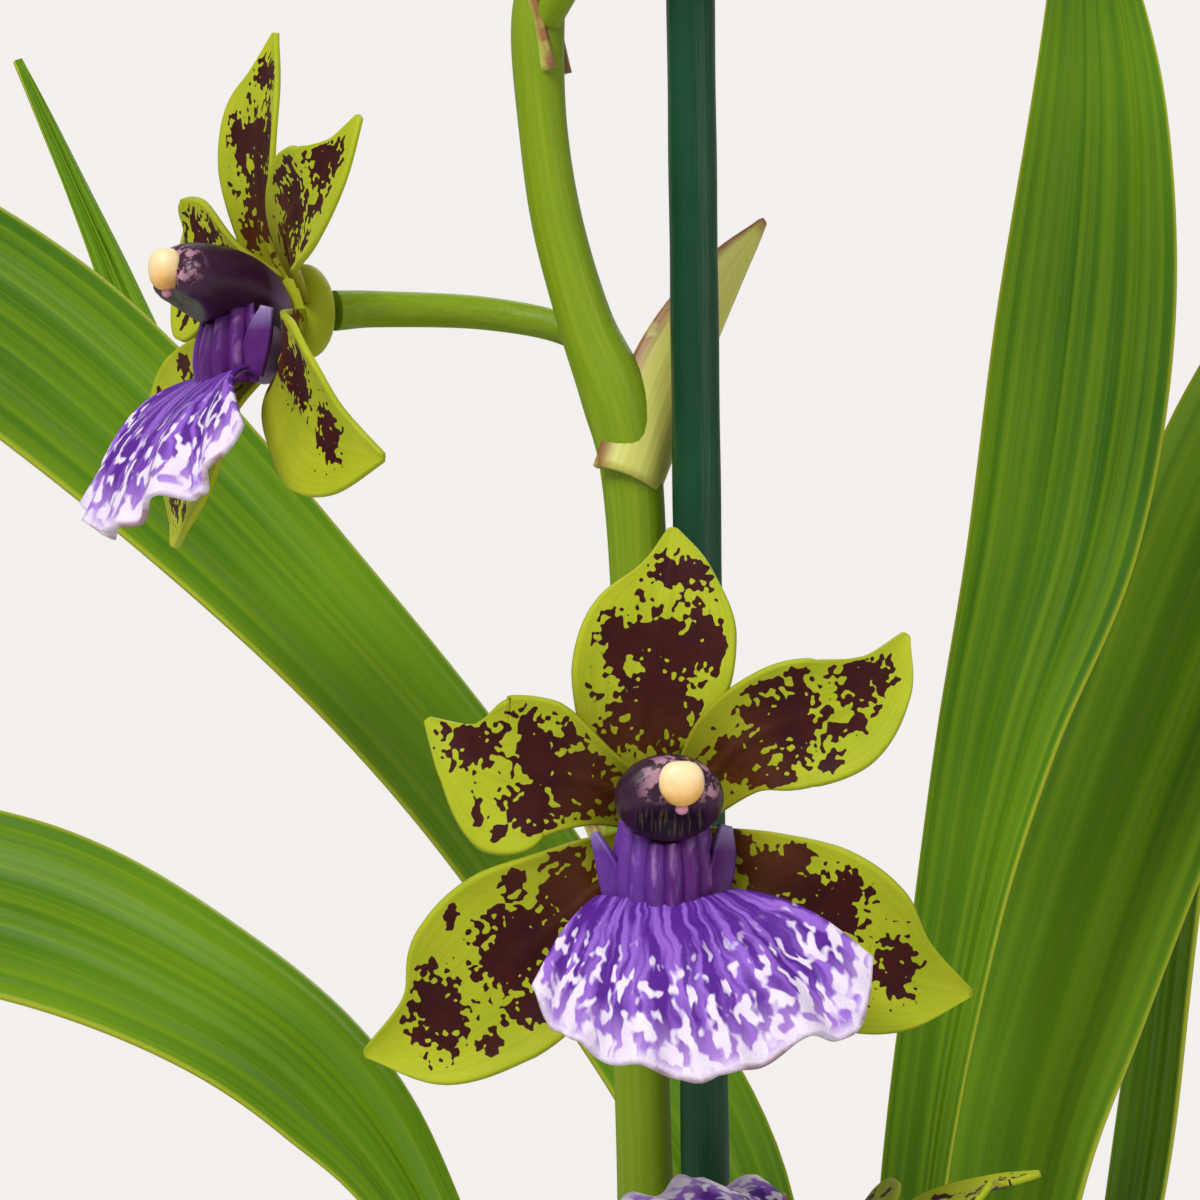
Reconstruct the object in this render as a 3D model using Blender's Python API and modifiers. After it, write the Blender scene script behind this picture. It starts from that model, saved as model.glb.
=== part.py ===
# A potted zygopetalum orchid: a plain pot of bark, four pseudobulbs with their leaves,
# and one flower spike on a green stake, with five open blooms and three buds.
#
# Lengths are in metres, +Z is up and the origin is the middle of the pot's underside.
# The viewer of the main bloom looks along +Y. Shapes are described in millimetres and
# scaled by MM. A bloom has its own frame: x to its right, forward out of its face, z up.

import math
import random

import bmesh
import bpy
import numpy as np
from mathutils import Euler, Matrix, Vector

MM = 0.001
GAP = 0.3  # mm between neighbours that touch

# Pot and growing medium, mm
POT_HEIGHT = 115.0
POT_TOP_RADIUS = 66.0
POT_FOOT_RADIUS = 47.0
POT_WALL = 4.0
POT_FLOOR = 6.0
POT_RIM_HEIGHT = 14.0
POT_RIM_PROUD = 3.0
POT_SIDES = 32
BARK_LEVEL = 100.0
BARK_SEED = 11
CHIP_COUNT = 20
CHIP_SIZE = (4.5, 8.5)

# Stake and stem, mm
STAKE_RADIUS = 2.95
STAKE_FOOT = (1.3, -1.5, 30.0)
STAKE_TOP = (-4.0, -1.5, 452.0)
STAKE_SIDES = 14
STEM_SIDES = 8
STEM_ROWS = 28
PEDICEL_SIDES = 6
PEDICEL_ROWS = 7
PEDICEL_RADIUS = 1.9
PEDICEL_FLARE = 0.6
STEM_FOOT_HOLE = 60.0
HOLE_GAP = 0.4
CLIP_HEIGHTS = (186.0, 392.0)
CLIP_RADIUS = 0.9

# The stem's centre line from the bark up, mm: x, y, z, radius
STEM_LINE = [
    (-7.0, 6.0, 62.0, 3.7),
    (-7.2, 5.6, 100.0, 3.7),
    (-7.8, 5.0, 150.0, 3.7),
    (-8.2, 4.0, 190.0, 3.6),
    (-8.2, 3.0, 209.0, 4.2),
    (-8.4, 2.8, 226.0, 3.5),
    (-9.2, 2.8, 252.0, 3.5),
    (-9.6, 2.8, 266.0, 4.1),
    (-9.2, 2.6, 280.0, 3.5),
    (-9.2, 2.4, 300.0, 3.5),
    (-10.2, 2.2, 316.0, 3.8),
    (-12.2, 2.4, 325.0, 4.2),
    (-15.8, 2.8, 334.0, 3.4),
    (-19.2, 3.0, 346.0, 3.15),
    (-21.0, 3.0, 358.0, 3.0),
    (-21.6, 3.0, 370.0, 3.3),
    (-20.4, 2.8, 378.0, 2.9),
    (-16.4, 2.6, 392.0, 2.8),
    (-12.6, 2.6, 406.0, 2.7),
    (-10.6, 2.8, 416.0, 3.1),
    (-11.0, 3.4, 428.0, 2.4),
    (-13.0, 3.8, 440.0, 2.2),
    (-13.8, 3.6, 449.0, 2.5),
    (-12.8, 2.8, 460.0, 1.8),
    (-11.4, 2.0, 470.0, 2.0),
    (-10.8, 1.2, 480.0, 1.4),
    (-11.0, 0.4, 486.0, 1.3),
]

# Each bloom: hub in mm, the way it faces, the way its top points, its size, then the
# points of its pedicel from the stem to near the hub
BLOOMS = [
    ("bloom_1", (-6.1, -30.0, 274.1), (0, -1, 0), (0, 0, 1), 1.0,
     [(-9.4, 1.5, 264.0), (-8.6, -6.0, 266.0)]),
    ("bloom_2", (-51.8, 4.0, 336.0), (-0.9, -0.43, -0.05), (0, 0, 1), 0.97,
     [(-12.0, 6.0, 327.5), (-17.5, 9.6, 333.0), (-28.0, 11.5, 335.4)]),
    ("bloom_3", (16.8, -40.7, 215.0), (-0.58, -0.1, 0.81), (0.58, -0.75, 0.33), 0.94,
     [(-6.4, 4.6, 206.5), (4.0, 7.0, 199.0), (18.0, -2.0, 188.0), (27.0, -24.0, 187.0)]),
    ("bloom_4", (14.0, -20.0, 402.5), (0.85, -0.52, 0.05), (0.1, 0, 1), 0.95,
     [(-20.4, 1.0, 371.0), (-14.0, -8.5, 381.0), (-6.0, -13.0, 394.0)]),
    ("bloom_5", (-38.0, 14.0, 430.0), (-0.88, 0.46, -0.1), (-0.1, 0, 1), 0.9,
     [(-11.6, 4.6, 416.5), (-17.0, 6.0, 423.0)]),
]

# Buds on their pedicels: points from the stem to the bud's foot in mm, then the bud's
# length and its greatest radius
BUDS = [
    ("bud_1", [(-13.0, 2.6, 449.0), (-4.0, -4.0, 454.0), (3.0, -8.0, 460.0)], 21.0, 5.4),
    ("bud_2", [(-11.8, 2.6, 470.0), (-18.0, 7.0, 474.0), (-23.0, 10.0, 480.0)], 16.0, 4.2),
    ("bud_3", [(-11.0, 0.6, 484.0), (-10.6, -1.0, 489.0), (-9.6, -3.0, 494.0)], 12.0, 3.2),
]

# A bract sheathes the stem at each node: foot, tip, half width in mm, and the direction
# that its hollow side faces
BRACTS = [
    ("node_low", (-8.0, 3.0, 203.0), (9.0, 16.0, 226.0), 5.4, (-0.7, -0.3, 0.6)),
    ("node_main", (-9.6, 2.8, 258.0), (-22.0, 15.0, 284.0), 5.4, (0.7, -0.4, 0.6)),
    ("node_left", (-8.2, -1.2, 314.0), (6.2, 13.5, 347.0), 7.6, (-0.45, 0.75, 0.5)),
    ("node_top", (-21.4, 3.0, 364.0), (-29.0, 6.0, 394.0), 4.8, (0.9, -0.3, 0.2)),
    ("node_upper", (-11.0, 2.8, 410.0), (0.5, 8.0, 432.0), 4.4, (-0.8, -0.3, 0.4)),
    ("node_bud", (-13.6, 3.6, 444.0), (-21.0, 6.0, 461.0), 3.6, (0.8, -0.3, 0.4)),
]

# A tepal's stations from foot to tip, mm in the bloom's frame:
# x, forward, z, half width on its left, half width on its right
TEPALS = {
    "dorsal_sepal": [
        (-0.6, -0.8, 2.4, 2.8, 2.8),
        (-3.3, 1.2, 8.5, 6.0, 5.4),
        (-2.4, 2.4, 16.5, 9.0, 9.4),
        (-0.6, 2.6, 24.0, 8.2, 8.8),
        (0.4, 1.8, 29.6, 3.6, 5.0),
        (0.6, 0.6, 34.3, 0.45, 0.45),
    ],
    "left_petal": [
        (-2.4, -0.8, 1.4, 2.6, 2.6),
        (-8.0, 3.4, 4.4, 5.0, 4.2),
        (-14.0, 4.8, 5.8, 7.6, 8.6),
        (-19.6, 5.2, 5.8, 9.3, 9.0),
        (-24.4, 4.2, 7.6, 3.2, 5.4),
        (-28.0, 2.2, 12.0, 0.45, 0.45),
    ],
    "right_petal": [
        (2.4, -0.8, 1.6, 2.6, 2.6),
        (7.6, 3.2, 8.4, 5.6, 6.0),
        (13.8, 4.2, 11.6, 7.0, 8.0),
        (19.8, 4.4, 13.4, 6.2, 7.6),
        (24.6, 3.2, 16.8, 3.6, 4.4),
        (27.8, 1.4, 21.9, 0.45, 0.45),
    ],
    "left_sepal": [
        (-2.2, -0.8, -3.0, 2.8, 2.8),
        (-8.6, 5.2, -8.0, 6.8, 6.8),
        (-15.2, 6.4, -13.8, 10.0, 10.8),
        (-21.6, 6.8, -19.2, 10.0, 10.6),
        (-27.4, 6.0, -24.0, 6.8, 5.8),
        (-35.2, 3.6, -26.8, 0.45, 0.45),
    ],
    "right_sepal": [
        (2.2, -0.8, -3.0, 2.8, 2.8),
        (9.0, 5.2, -7.4, 7.4, 6.6),
        (15.6, 6.4, -11.4, 10.0, 9.2),
        (22.2, 6.8, -15.2, 9.4, 9.2),
        (28.0, 6.0, -18.0, 5.4, 6.4),
        (35.2, 3.6, -19.8, 0.45, 0.45),
    ],
}
TEPAL_FORWARD_CURL = 22.0  # degrees that each margin turns forward
TEPAL_THICKNESS = 0.8
TEPAL_ROWS = 5
TEPAL_COLUMNS = 4
HUB = ((0.0, -2.0, -0.8), (5.2, 3.4, 6.0))  # centre (x, forward, z) and radii
PEDICEL_GAP = 0.55  # the end of a pedicel is flat and the hub behind it is round
SCRAP = 12  # a loose bit that a cut leaves has at most this many corners

# The lip's outer edge from its left corner to its right one, mm: x, forward, z
LIP_EDGE = [
    (-15.6, 19.0, -18.6),
    (-12.6, 22.6, -22.8),
    (-7.6, 25.6, -25.5),
    (-2.4, 27.0, -26.8),
    (4.4, 27.6, -27.8),
    (9.8, 27.0, -26.2),
    (16.0, 24.8, -23.4),
    (21.6, 21.2, -22.4),
    (23.2, 17.6, -14.4),
]
# The lip's neck, where the blade leaves the callus, left to right
LIP_NECK = [(-8.2, 8.6, -8.4), (-3.0, 10.8, -8.6), (3.0, 11.0, -8.6), (7.6, 9.2, -7.6)]
LIP_THICKNESS = 0.9
LIP_ROWS = 4
LIP_COLUMNS = 11
LIP_WAVE = 0.9
LIP_WAVES = 5.5

# The ribbed callus, a half collar under the column
CALLUS_RADIUS = 4.9
CALLUS_CENTRE = (-0.5, 6.0)  # x, forward
CALLUS_FOOT = -9.4
CALLUS_CREST = -2.6
CALLUS_CREST_RISE = 1.1
CALLUS_HALF_ANGLE = 82.0
CALLUS_RIBS = 7
CALLUS_RIB_HEIGHT = 0.35
CALLUS_THICKNESS = 1.5

# Side lobes of the lip: foot, top, half width and the side each faces
SIDE_LOBES = [
    [(-5.8, 8.0, -8.8, 1.8, 1.8), (-6.9, 7.6, -5.0, 1.5, 1.5), (-8.6, 6.8, -1.0, 0.45, 0.45)],
    [(5.2, 8.0, -8.4, 1.8, 1.8), (6.2, 7.0, -3.8, 1.8, 1.8), (6.6, 6.0, -0.2, 0.8, 0.8)],
]

# The column from its foot to its tip, mm: forward, height, half width, half depth
COLUMN = [
    (0.4, -4.6, 3.2, 3.0),
    (1.6, -1.2, 4.0, 4.4),
    (5.0, 1.8, 5.0, 4.4),
    (9.0, 3.2, 5.9, 4.5),
    (13.0, 3.2, 6.3, 5.1),
    (15.6, 3.4, 5.7, 4.4),
    (16.8, 3.4, 4.4, 3.1),
]
COLUMN_SIDES = 8
HOOD_HOLLOW = ((0.2, 17.2, -0.6), (4.4, 4.6, 3.7))
ANTHER_CAP = ((1.4, 17.3, 5.0), (2.6, 1.9, 2.6))
FOOT_WEDGE = ((0.0, 4.0, -4.6), (3.4, 3.2, 5.2))

# Leaves: crown point, then the rest of the midrib in mm with the half width there, and
# the direction that the upper face looks in at the foot and at the tip
LEAVES = {
    "leaf_left_high": (
        [(5.5, 36.5, 131, 4), (4.5, 40, 172, 6), (2, 45, 222, 9.6), (-21, 53, 261, 9.8),
         (-50, 59, 296, 11.5), (-92, 68, 335, 16.5), (-130, 76, 354, 16), (-166, 82, 352, 10),
         (-192, 86, 340, 0.7)],
        (0.5, -0.8, 0.3), (0.1, -0.6, 0.8)),
    "leaf_left_low": (
        [(-6, 40, 131, 4), (-18, 50, 172, 5), (-36, 64, 214, 6), (-50, 70, 234, 10.6),
         (-68, 74, 247, 13), (-95, 80, 258, 15.4), (-128, 86, 262, 14), (-160, 92, 254, 9),
         (-188, 96, 236, 0.7)],
        (0.5, -0.7, 0.5), (0.1, -0.75, 0.66)),
    "leaf_left_back": (
        [(1.5, 47.5, 131, 3.6), (4, 56, 172, 5), (2.6, 65, 220, 6.6), (-22, 80, 261, 7.2),
         (-48, 95, 293, 6.6), (-70, 105, 319, 4.6), (-84, 110, 350, 2.1), (-96, 115, 376, 0.6)],
        (0.5, -0.8, 0.3), (0.3, -0.9, 0.2)),
    "leaf_right_high": (
        [(21.5, 20, 131, 4.2), (22.5, 27, 175, 5), (26.2, 33, 223, 5), (31.5, 35, 257, 6.2),
         (37, 35, 283, 8.6), (44, 35, 308, 11.4), (48, 35, 335, 11.6), (49.6, 35, 361, 9),
         (48.6, 35, 382, 5), (46.5, 35, 402, 0.6)],
        (-0.75, -0.65, 0.0), (0.0, -1.0, 0.1)),
    "leaf_right_outer": (
        [(30, 29, 131, 4.2), (34, 46, 175, 7.5), (39.7, 58, 221, 10.6), (47, 61, 248, 12.2),
         (58, 63, 279, 13.6), (76, 66, 322, 14.4), (94, 70, 350, 11.6), (114, 74, 366, 7),
         (136, 78, 370, 0.7)],
        (-0.3, -0.95, 0.1), (-0.4, -0.8, 0.4)),
    "leaf_right_back": (
        [(36.0, 20.6, 131, 3.4), (47, 47, 172, 5), (59, 84, 218, 6), (64, 91, 252, 6.4),
         (68, 96, 287, 6), (72, 100, 320, 4), (76, 104, 350, 0.6)],
        (-0.8, -0.5, 0.2), (-0.85, -0.5, 0.1)),
    "leaf_right_arch": (
        [(32, 14.5, 131, 4), (52, 7, 163, 8), (84, -4, 189, 12), (122, -14, 196, 12.5),
         (156, -22, 180, 8.5), (178, -28, 154, 0.7)],
        (-0.6, -0.2, 0.7), (0.5, -0.2, 0.8)),
    "leaf_left_arch": (
        [(-34.5, 18, 131, 4), (-56, 20, 165, 8), (-90, 18, 190, 11.6), (-128, 12, 192, 12),
         (-160, 6, 172, 8), (-180, 2, 144, 0.7)],
        (0.6, -0.2, 0.7), (-0.5, -0.2, 0.8)),
    "leaf_back_left": (
        [(-25, 25, 131, 4), (-38, 52, 166, 8), (-64, 84, 194, 11.6), (-98, 112, 202, 12),
         (-130, 134, 184, 8), (-150, 148, 158, 0.7)],
        (0.4, -0.6, 0.7), (-0.4, 0.4, 0.8)),
    "leaf_back_right": (
        [(9, 43, 131, 3.8), (30, 74, 166, 8), (58, 104, 194, 11.6), (92, 130, 202, 12),
         (124, 150, 186, 8), (144, 163, 160, 0.7)],
        (-0.4, -0.6, 0.7), (0.4, 0.4, 0.8)),
    "leaf_front_left": (
        [(0.5, -33, 131, 4), (-20, -52, 160, 7.5), (-50, -76, 182, 11), (-84, -98, 184, 11.4),
         (-114, -116, 164, 7.5), (-132, -127, 136, 0.7)],
        (0.5, 0.5, 0.7), (-0.4, -0.4, 0.8)),
    "leaf_front_right": (
        [(11, -34, 131, 4), (32, -52, 158, 7.5), (62, -74, 180, 11), (96, -94, 184, 11.4),
         (126, -110, 166, 7.5), (146, -120, 138, 0.7)],
        (-0.5, 0.5, 0.7), (0.4, -0.4, 0.8)),
}
LEAF_THICKNESS = 0.8
LEAF_FOOT_CURL = 62.0  # degrees that each half of the blade folds up at its foot
LEAF_TIP_CURL = 12.0
LEAF_PLEAT = 0.45
LEAF_ROWS = 8
LEAF_COLUMNS = 6

# Pseudobulbs: centre, then radius at the bark, widest radius and crown radius
PSEUDOBULBS = [
    ("pseudobulb_1", (-29.0, 18.0), 9.0, 13.0, 8.0),
    ("pseudobulb_2", (28.5, 21.5), 9.5, 14.0, 9.6),
    ("pseudobulb_3", (5.5, -33.0), 9.0, 12.5, 8.0),
    ("pseudobulb_4", (1.5, 41.5), 9.0, 12.5, 9.4),
]
CROWN_LEVEL = 130.4
BULB_SIDES = 10

COLOURS = {
    "pot": ((0.83, 0.81, 0.77), 0.35),
    "bark": ((0.19, 0.10, 0.055), 0.9),
    "stake": ((0.02, 0.13, 0.07), 0.3),
    "clip": ((0.03, 0.16, 0.08), 0.45),
    "stem": ((0.30, 0.43, 0.03), 0.45),
    "leaf": ((0.13, 0.30, 0.02), 0.4),
    "pseudobulb": ((0.25, 0.38, 0.06), 0.5),
    "tepal": ((0.45, 0.52, 0.04), 0.5),
    "lip": ((0.42, 0.22, 0.62), 0.5),
    "column": ((0.14, 0.03, 0.14), 0.35),
    "anther_cap": ((0.86, 0.66, 0.30), 0.45),
    "bud": ((0.38, 0.46, 0.05), 0.45),
}


def clear_scene():
    for old in list(bpy.data.objects):
        bpy.data.objects.remove(old)


def make_materials():
    made = {}
    for name, (colour, roughness) in COLOURS.items():
        material = bpy.data.materials.new(name)
        material.use_nodes = True
        surface = material.node_tree.nodes["Principled BSDF"]
        surface.inputs["Base Color"].default_value = (*colour, 1.0)
        surface.inputs["Roughness"].default_value = roughness
        made[name] = material
    return made


def smooth_value(values, t):
    """The value at t, from 0 to 1, of a Catmull-Rom curve through evenly spaced values."""
    values = np.asarray(values, float)
    spans = len(values) - 1
    place = min(max(t, 0.0), 1.0) * spans
    i = min(int(place), spans - 1)
    u = place - i
    b, c = values[i], values[i + 1]
    a = values[i - 1] if i > 0 else 2 * b - c
    d = values[i + 2] if i + 2 <= spans else 2 * c - b
    return 0.5 * (2 * b + (c - a) * u + (2 * a - 5 * b + 4 * c - d) * u * u
                  + (3 * b - a - 3 * c + d) * u ** 3)


def unit(v):
    return v / max(np.linalg.norm(v), 1e-9)


def blade_frame(centres, faces, t):
    """Centre, sideways axis and facing axis of a blade at t along its midrib."""
    step = 0.002
    centre = smooth_value(centres, t)
    along = unit(smooth_value(centres, min(t + step, 1)) - smooth_value(centres, max(t - step, 0)))
    face = smooth_value(faces, t)
    face = unit(face - along * np.dot(face, along))
    return centre, np.cross(face, along), face


def blade_point(centres, faces, widths, curls, t, s, lift=0.0):
    """A point of a blade: s runs from -1 at its right margin to 1 at its left one."""
    centre, side, face = blade_frame(centres, faces, t)
    left, right = smooth_value(widths, t)
    reach = max(left if s > 0 else right, 0.3)
    turn = math.radians(max(smooth_value(curls, t), 0.5))
    bend = turn / reach
    off = abs(s) * reach
    across = math.sin(bend * off) / bend
    forward = (1 - math.cos(bend * off)) / bend
    return centre + side * math.copysign(across, s) + face * (forward + lift)


def new_object(name, bm, collection, material=None):
    mesh = bpy.data.meshes.new(name)
    bm.to_mesh(mesh)
    bm.free()
    made = bpy.data.objects.new(name, mesh)
    collection.objects.link(made)
    if material:
        mesh.materials.append(material)
    return made


def grid_surface(rows, columns, place):
    """A grid of triangles whose vertex at (t, s) is moved to place(t, s), in mm."""
    bm = bmesh.new()
    bmesh.ops.create_grid(bm, x_segments=columns, y_segments=rows, size=1.0)
    for vertex in bm.verts:
        t = (vertex.co.y + 1) / 2
        s = -vertex.co.x
        vertex.co = Vector(place(t, s)) * MM
    bmesh.ops.triangulate(bm, faces=bm.faces)
    return bm


def solidify(made, thickness, offset=0.0):
    """Gives an open surface its thickness, and applies it."""
    modifier = made.modifiers.new("thickness", "SOLIDIFY")
    modifier.thickness = thickness * MM
    modifier.offset = offset
    apply_modifiers(made)
    return made


def apply_modifiers(made):
    """Replaces an object's mesh by the evaluated one."""
    graph = bpy.context.evaluated_depsgraph_get()
    mesh = bpy.data.meshes.new_from_object(made.evaluated_get(graph))
    made.modifiers.clear()
    made.data = mesh


def tube(name, points, radii, sides, collection):
    """A tube through the points, in mm, as a mesh with closed ends."""
    curve = bpy.data.curves.new(name, "CURVE")
    curve.dimensions = "3D"
    curve.bevel_depth = MM
    curve.bevel_resolution = max(0, (sides - 4) // 2)
    curve.use_fill_caps = True
    spline = curve.splines.new("POLY")
    spline.points.add(len(points) - 1)
    for point, co, radius in zip(spline.points, points, radii):
        point.co = (*(Vector(co) * MM), 1.0)
        point.radius = radius
    holder = bpy.data.objects.new(name, curve)
    collection.objects.link(holder)
    graph = bpy.context.evaluated_depsgraph_get()
    mesh = bpy.data.meshes.new_from_object(holder.evaluated_get(graph))
    bpy.data.objects.remove(holder)
    bm = bmesh.new()
    bm.from_mesh(mesh)
    bmesh.ops.remove_doubles(bm, verts=bm.verts, dist=1e-6)
    return new_object(name, bm, collection)


def smooth_line(points, count):
    """Count points of the smooth curve through the given ones."""
    return [smooth_value(points, i / (count - 1)) for i in range(count)]


def ellipsoid(name, centre, radii, collection, u=8, v=6):
    bm = bmesh.new()
    bmesh.ops.create_uvsphere(bm, u_segments=u, v_segments=v, radius=1.0)
    for vertex in bm.verts:
        vertex.co = Vector([(c + r * a) * MM for c, r, a in zip(centre, radii, vertex.co)])
    return new_object(name, bm, collection)


def turned(name, profile, sides, collection, material=None):
    """A turned solid from a closed profile of (radius, height) in mm, top to bottom outside."""
    mesh = bpy.data.meshes.new(name)
    edges = [(i, i + 1) for i in range(len(profile) - 1)]
    mesh.from_pydata([(r * MM, 0, z * MM) for r, z in profile], edges, [])
    made = bpy.data.objects.new(name, mesh)
    collection.objects.link(made)
    screw = made.modifiers.new("turn", "SCREW")
    screw.steps = screw.render_steps = sides
    screw.use_merge_vertices = True
    screw.merge_threshold = 1e-5
    apply_modifiers(made)
    if material:
        made.data.materials.append(material)
    return made


def join(base, pieces, operation="UNION"):
    """Joins the pieces to base, or cuts them from it, and removes them."""
    group = bpy.data.collections.new("joined")
    bpy.context.scene.collection.children.link(group)
    for piece in pieces:
        for owner in list(piece.users_collection):
            owner.objects.unlink(piece)
        group.objects.link(piece)
    modifier = base.modifiers.new("join", "BOOLEAN")
    modifier.operand_type = "COLLECTION"
    modifier.collection = group
    modifier.operation = operation
    modifier.solver = "EXACT"
    apply_modifiers(base)
    for piece in list(group.objects):
        bpy.data.objects.remove(piece)
    bpy.data.collections.remove(group)
    return base


def dressed(made, material, angle=40):
    """Gives a finished node its one material and smooth shading."""
    made.data.materials.clear()
    made.data.materials.append(material)
    made.data.shade_smooth()
    made.data.set_sharp_from_angle(angle=math.radians(angle))
    return made


def forward_frame(point):
    """A point of the bloom's frame (x, forward, z) as Blender's x, y, z."""
    return np.array([point[0], -point[1], point[2]])


def tepal_surface(stations, rows, columns):
    centres = [forward_frame(st[:3]) for st in stations]
    widths = [st[3:5] for st in stations]
    faces = [(0.0, -1.0, 0.0)] * len(stations)
    curls = [TEPAL_FORWARD_CURL] * len(stations)
    return grid_surface(rows, columns,
                        lambda t, s: blade_point(centres, faces, widths, curls, t, s))


def make_tepals(collection, material):
    centre, radii = HUB
    hub = ellipsoid("bloom_tepals", forward_frame(centre), radii, collection, 8, 6)
    parts = []
    for name, stations in TEPALS.items():
        surface = new_object(name, tepal_surface(stations, TEPAL_ROWS, TEPAL_COLUMNS), collection)
        parts.append(solidify(surface, TEPAL_THICKNESS))
    return dressed(join(hub, parts), material, 60)


def lip_point(t, s):
    """The lip's blade: t from neck to edge, s from -1 at its left corner to 1."""
    u = (s + 1) / 2
    neck = smooth_value(LIP_NECK, u)
    edge = smooth_value(LIP_EDGE, u)
    swell = math.sin(math.pi * t)
    wave = LIP_WAVE * t * t * math.sin(math.pi * LIP_WAVES * s)
    point = neck + (edge - neck) * t + np.array([0, 1.6 * swell + wave, 1.8 * swell + 0.6 * wave])
    return forward_frame(point)


def callus_point(t, s):
    """The callus's outer face: t from its foot to its crest, s across its ribs."""
    angle = math.radians(CALLUS_HALF_ANGLE) * s
    crest = CALLUS_CREST + CALLUS_CREST_RISE * abs(math.sin(angle)) ** 1.5
    rib = CALLUS_RIB_HEIGHT * math.cos(2 * math.pi * CALLUS_RIBS * (s + 1) / 2)
    radius = CALLUS_RADIUS + rib + 0.6 * math.sin(math.pi * t) - 0.8 * t
    return forward_frame((
        CALLUS_CENTRE[0] + radius * math.sin(angle),
        CALLUS_CENTRE[1] + 1.15 * radius * math.cos(angle),
        CALLUS_FOOT + (crest - CALLUS_FOOT) * t,
    ))


def make_lip(collection, material):
    blade = new_object("bloom_lip", grid_surface(LIP_ROWS, LIP_COLUMNS,
                       lambda t, s: lip_point(t, -s)), collection)
    solidify(blade, LIP_THICKNESS)
    callus = new_object("callus", grid_surface(2, 2 * CALLUS_RIBS,
                        lambda t, s: callus_point(t, -s)), collection)
    solidify(callus, CALLUS_THICKNESS, -1.0)
    parts = [callus]
    for number, stations in enumerate(SIDE_LOBES):
        centres = [forward_frame(st[:3]) for st in stations]
        widths = [st[3:5] for st in stations]
        outward = math.copysign(0.6, stations[0][0])
        faces = [(outward, -0.8, 0.0)] * 3
        lobe = new_object(f"side_lobe_{number}", grid_surface(
            3, 2, lambda t, s: blade_point(centres, faces, widths, [20, 20, 20], t, s)), collection)
        parts.append(solidify(lobe, LIP_THICKNESS))
    return dressed(join(blade, parts), material, 60)


def column_ring(station, angle, grow):
    """A point of the column's skin, an ellipse across the column at a station."""
    forward, height, width, depth = station
    return forward_frame(((width + grow) * math.sin(angle), forward,
                          height + (depth + grow) * math.cos(angle)))


def column_body(name, collection, grow=0.0):
    """The column as a solid body, larger all round by grow in mm, with its foot."""
    bm = bmesh.new()
    stations = list(COLUMN)
    if grow:
        first, last = COLUMN[0], COLUMN[-1]
        stations.insert(0, (first[0] - grow, *first[1:]))
        stations.append((last[0] + grow, *last[1:]))
    rings = []
    for station in stations:
        rings.append([bm.verts.new(Vector(column_ring(station, 2 * math.pi * i / COLUMN_SIDES,
                                                      grow)) * MM) for i in range(COLUMN_SIDES)])
    for near, far in zip(rings, rings[1:]):
        for i in range(COLUMN_SIDES):
            j = (i + 1) % COLUMN_SIDES
            bm.faces.new((near[i], near[j], far[j], far[i]))
    bm.faces.new(rings[0])
    bm.faces.new(reversed(rings[-1]))
    bmesh.ops.recalc_face_normals(bm, faces=bm.faces)
    body = new_object(name, bm, collection)
    centre, radii = FOOT_WEDGE
    foot = ellipsoid("column_foot", forward_frame(centre), [r + grow for r in radii], collection)
    return join(body, [foot])


def make_column(collection, material):
    """The column with the dark hollow below its anther cap."""
    column = column_body("bloom_column", collection)
    centre, radii = HOOD_HOLLOW
    join(column, [ellipsoid("hood_hollow", forward_frame(centre), radii, collection)],
         "DIFFERENCE")
    return dressed(column, material, 50)


def bloom_matrix(hub, face, top, size):
    """Where a bloom's frame stands in the plant's: metres."""
    back = -Vector(face).normalized()
    right = back.cross(Vector(top)).normalized()
    turn = Matrix((right, back, right.cross(back))).transposed()
    place = turn.to_4x4() @ Matrix.Scale(size, 4)
    place.translation = Vector(hub) * MM
    return place


def without_scraps(made):
    """Drops the loose scraps that a cut left, and stops if more than one real body is left."""
    bm = bmesh.new()
    bm.from_mesh(made.data)
    bmesh.ops.remove_doubles(bm, verts=bm.verts, dist=2e-6)
    seen, groups = set(), []
    for start in bm.verts:
        if start in seen:
            continue
        group, waiting = [], [start]
        seen.add(start)
        while waiting:
            vertex = waiting.pop()
            group.append(vertex)
            for edge in vertex.link_edges:
                other = edge.other_vert(vertex)
                if other not in seen:
                    seen.add(other)
                    waiting.append(other)
        groups.append(group)
    groups.sort(key=len)
    for group in groups[:-1]:
        if len(group) > SCRAP:
            raise ValueError(f"{made.name} is in pieces: {[len(g) for g in groups]}")
        bmesh.ops.delete(bm, geom=group, context="VERTS")
    bm.to_mesh(made.data)
    bm.free()


def make_blooms(collection, materials):
    """Builds one bloom at the origin, then a copy of its four nodes for each bloom."""
    tepals = make_tepals(collection, materials["tepal"])
    lip = make_lip(collection, materials["lip"])
    column = make_column(collection, materials["column"])
    centre, radii = ANTHER_CAP
    cap = ellipsoid("bloom_anther_cap", forward_frame(centre), radii, collection, 7, 5)
    join(cap, [column_body("column_room", collection, GAP)], "DIFFERENCE")
    dressed(cap, materials["anther_cap"])
    join(tepals, [column_body("column_room", collection, 1.8 * GAP)], "DIFFERENCE")
    for piece in (tepals, lip, column, cap):
        without_scraps(piece)
    for name, hub, face, top, size, _ in BLOOMS:
        for piece in (tepals, lip, column, cap):
            copy = piece.copy()
            copy.name = piece.name.replace("bloom", name)
            copy.matrix_world = bloom_matrix(hub, face, top, size)
            collection.objects.link(copy)
    for piece in (tepals, lip, column, cap):
        bpy.data.objects.remove(piece)


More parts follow.
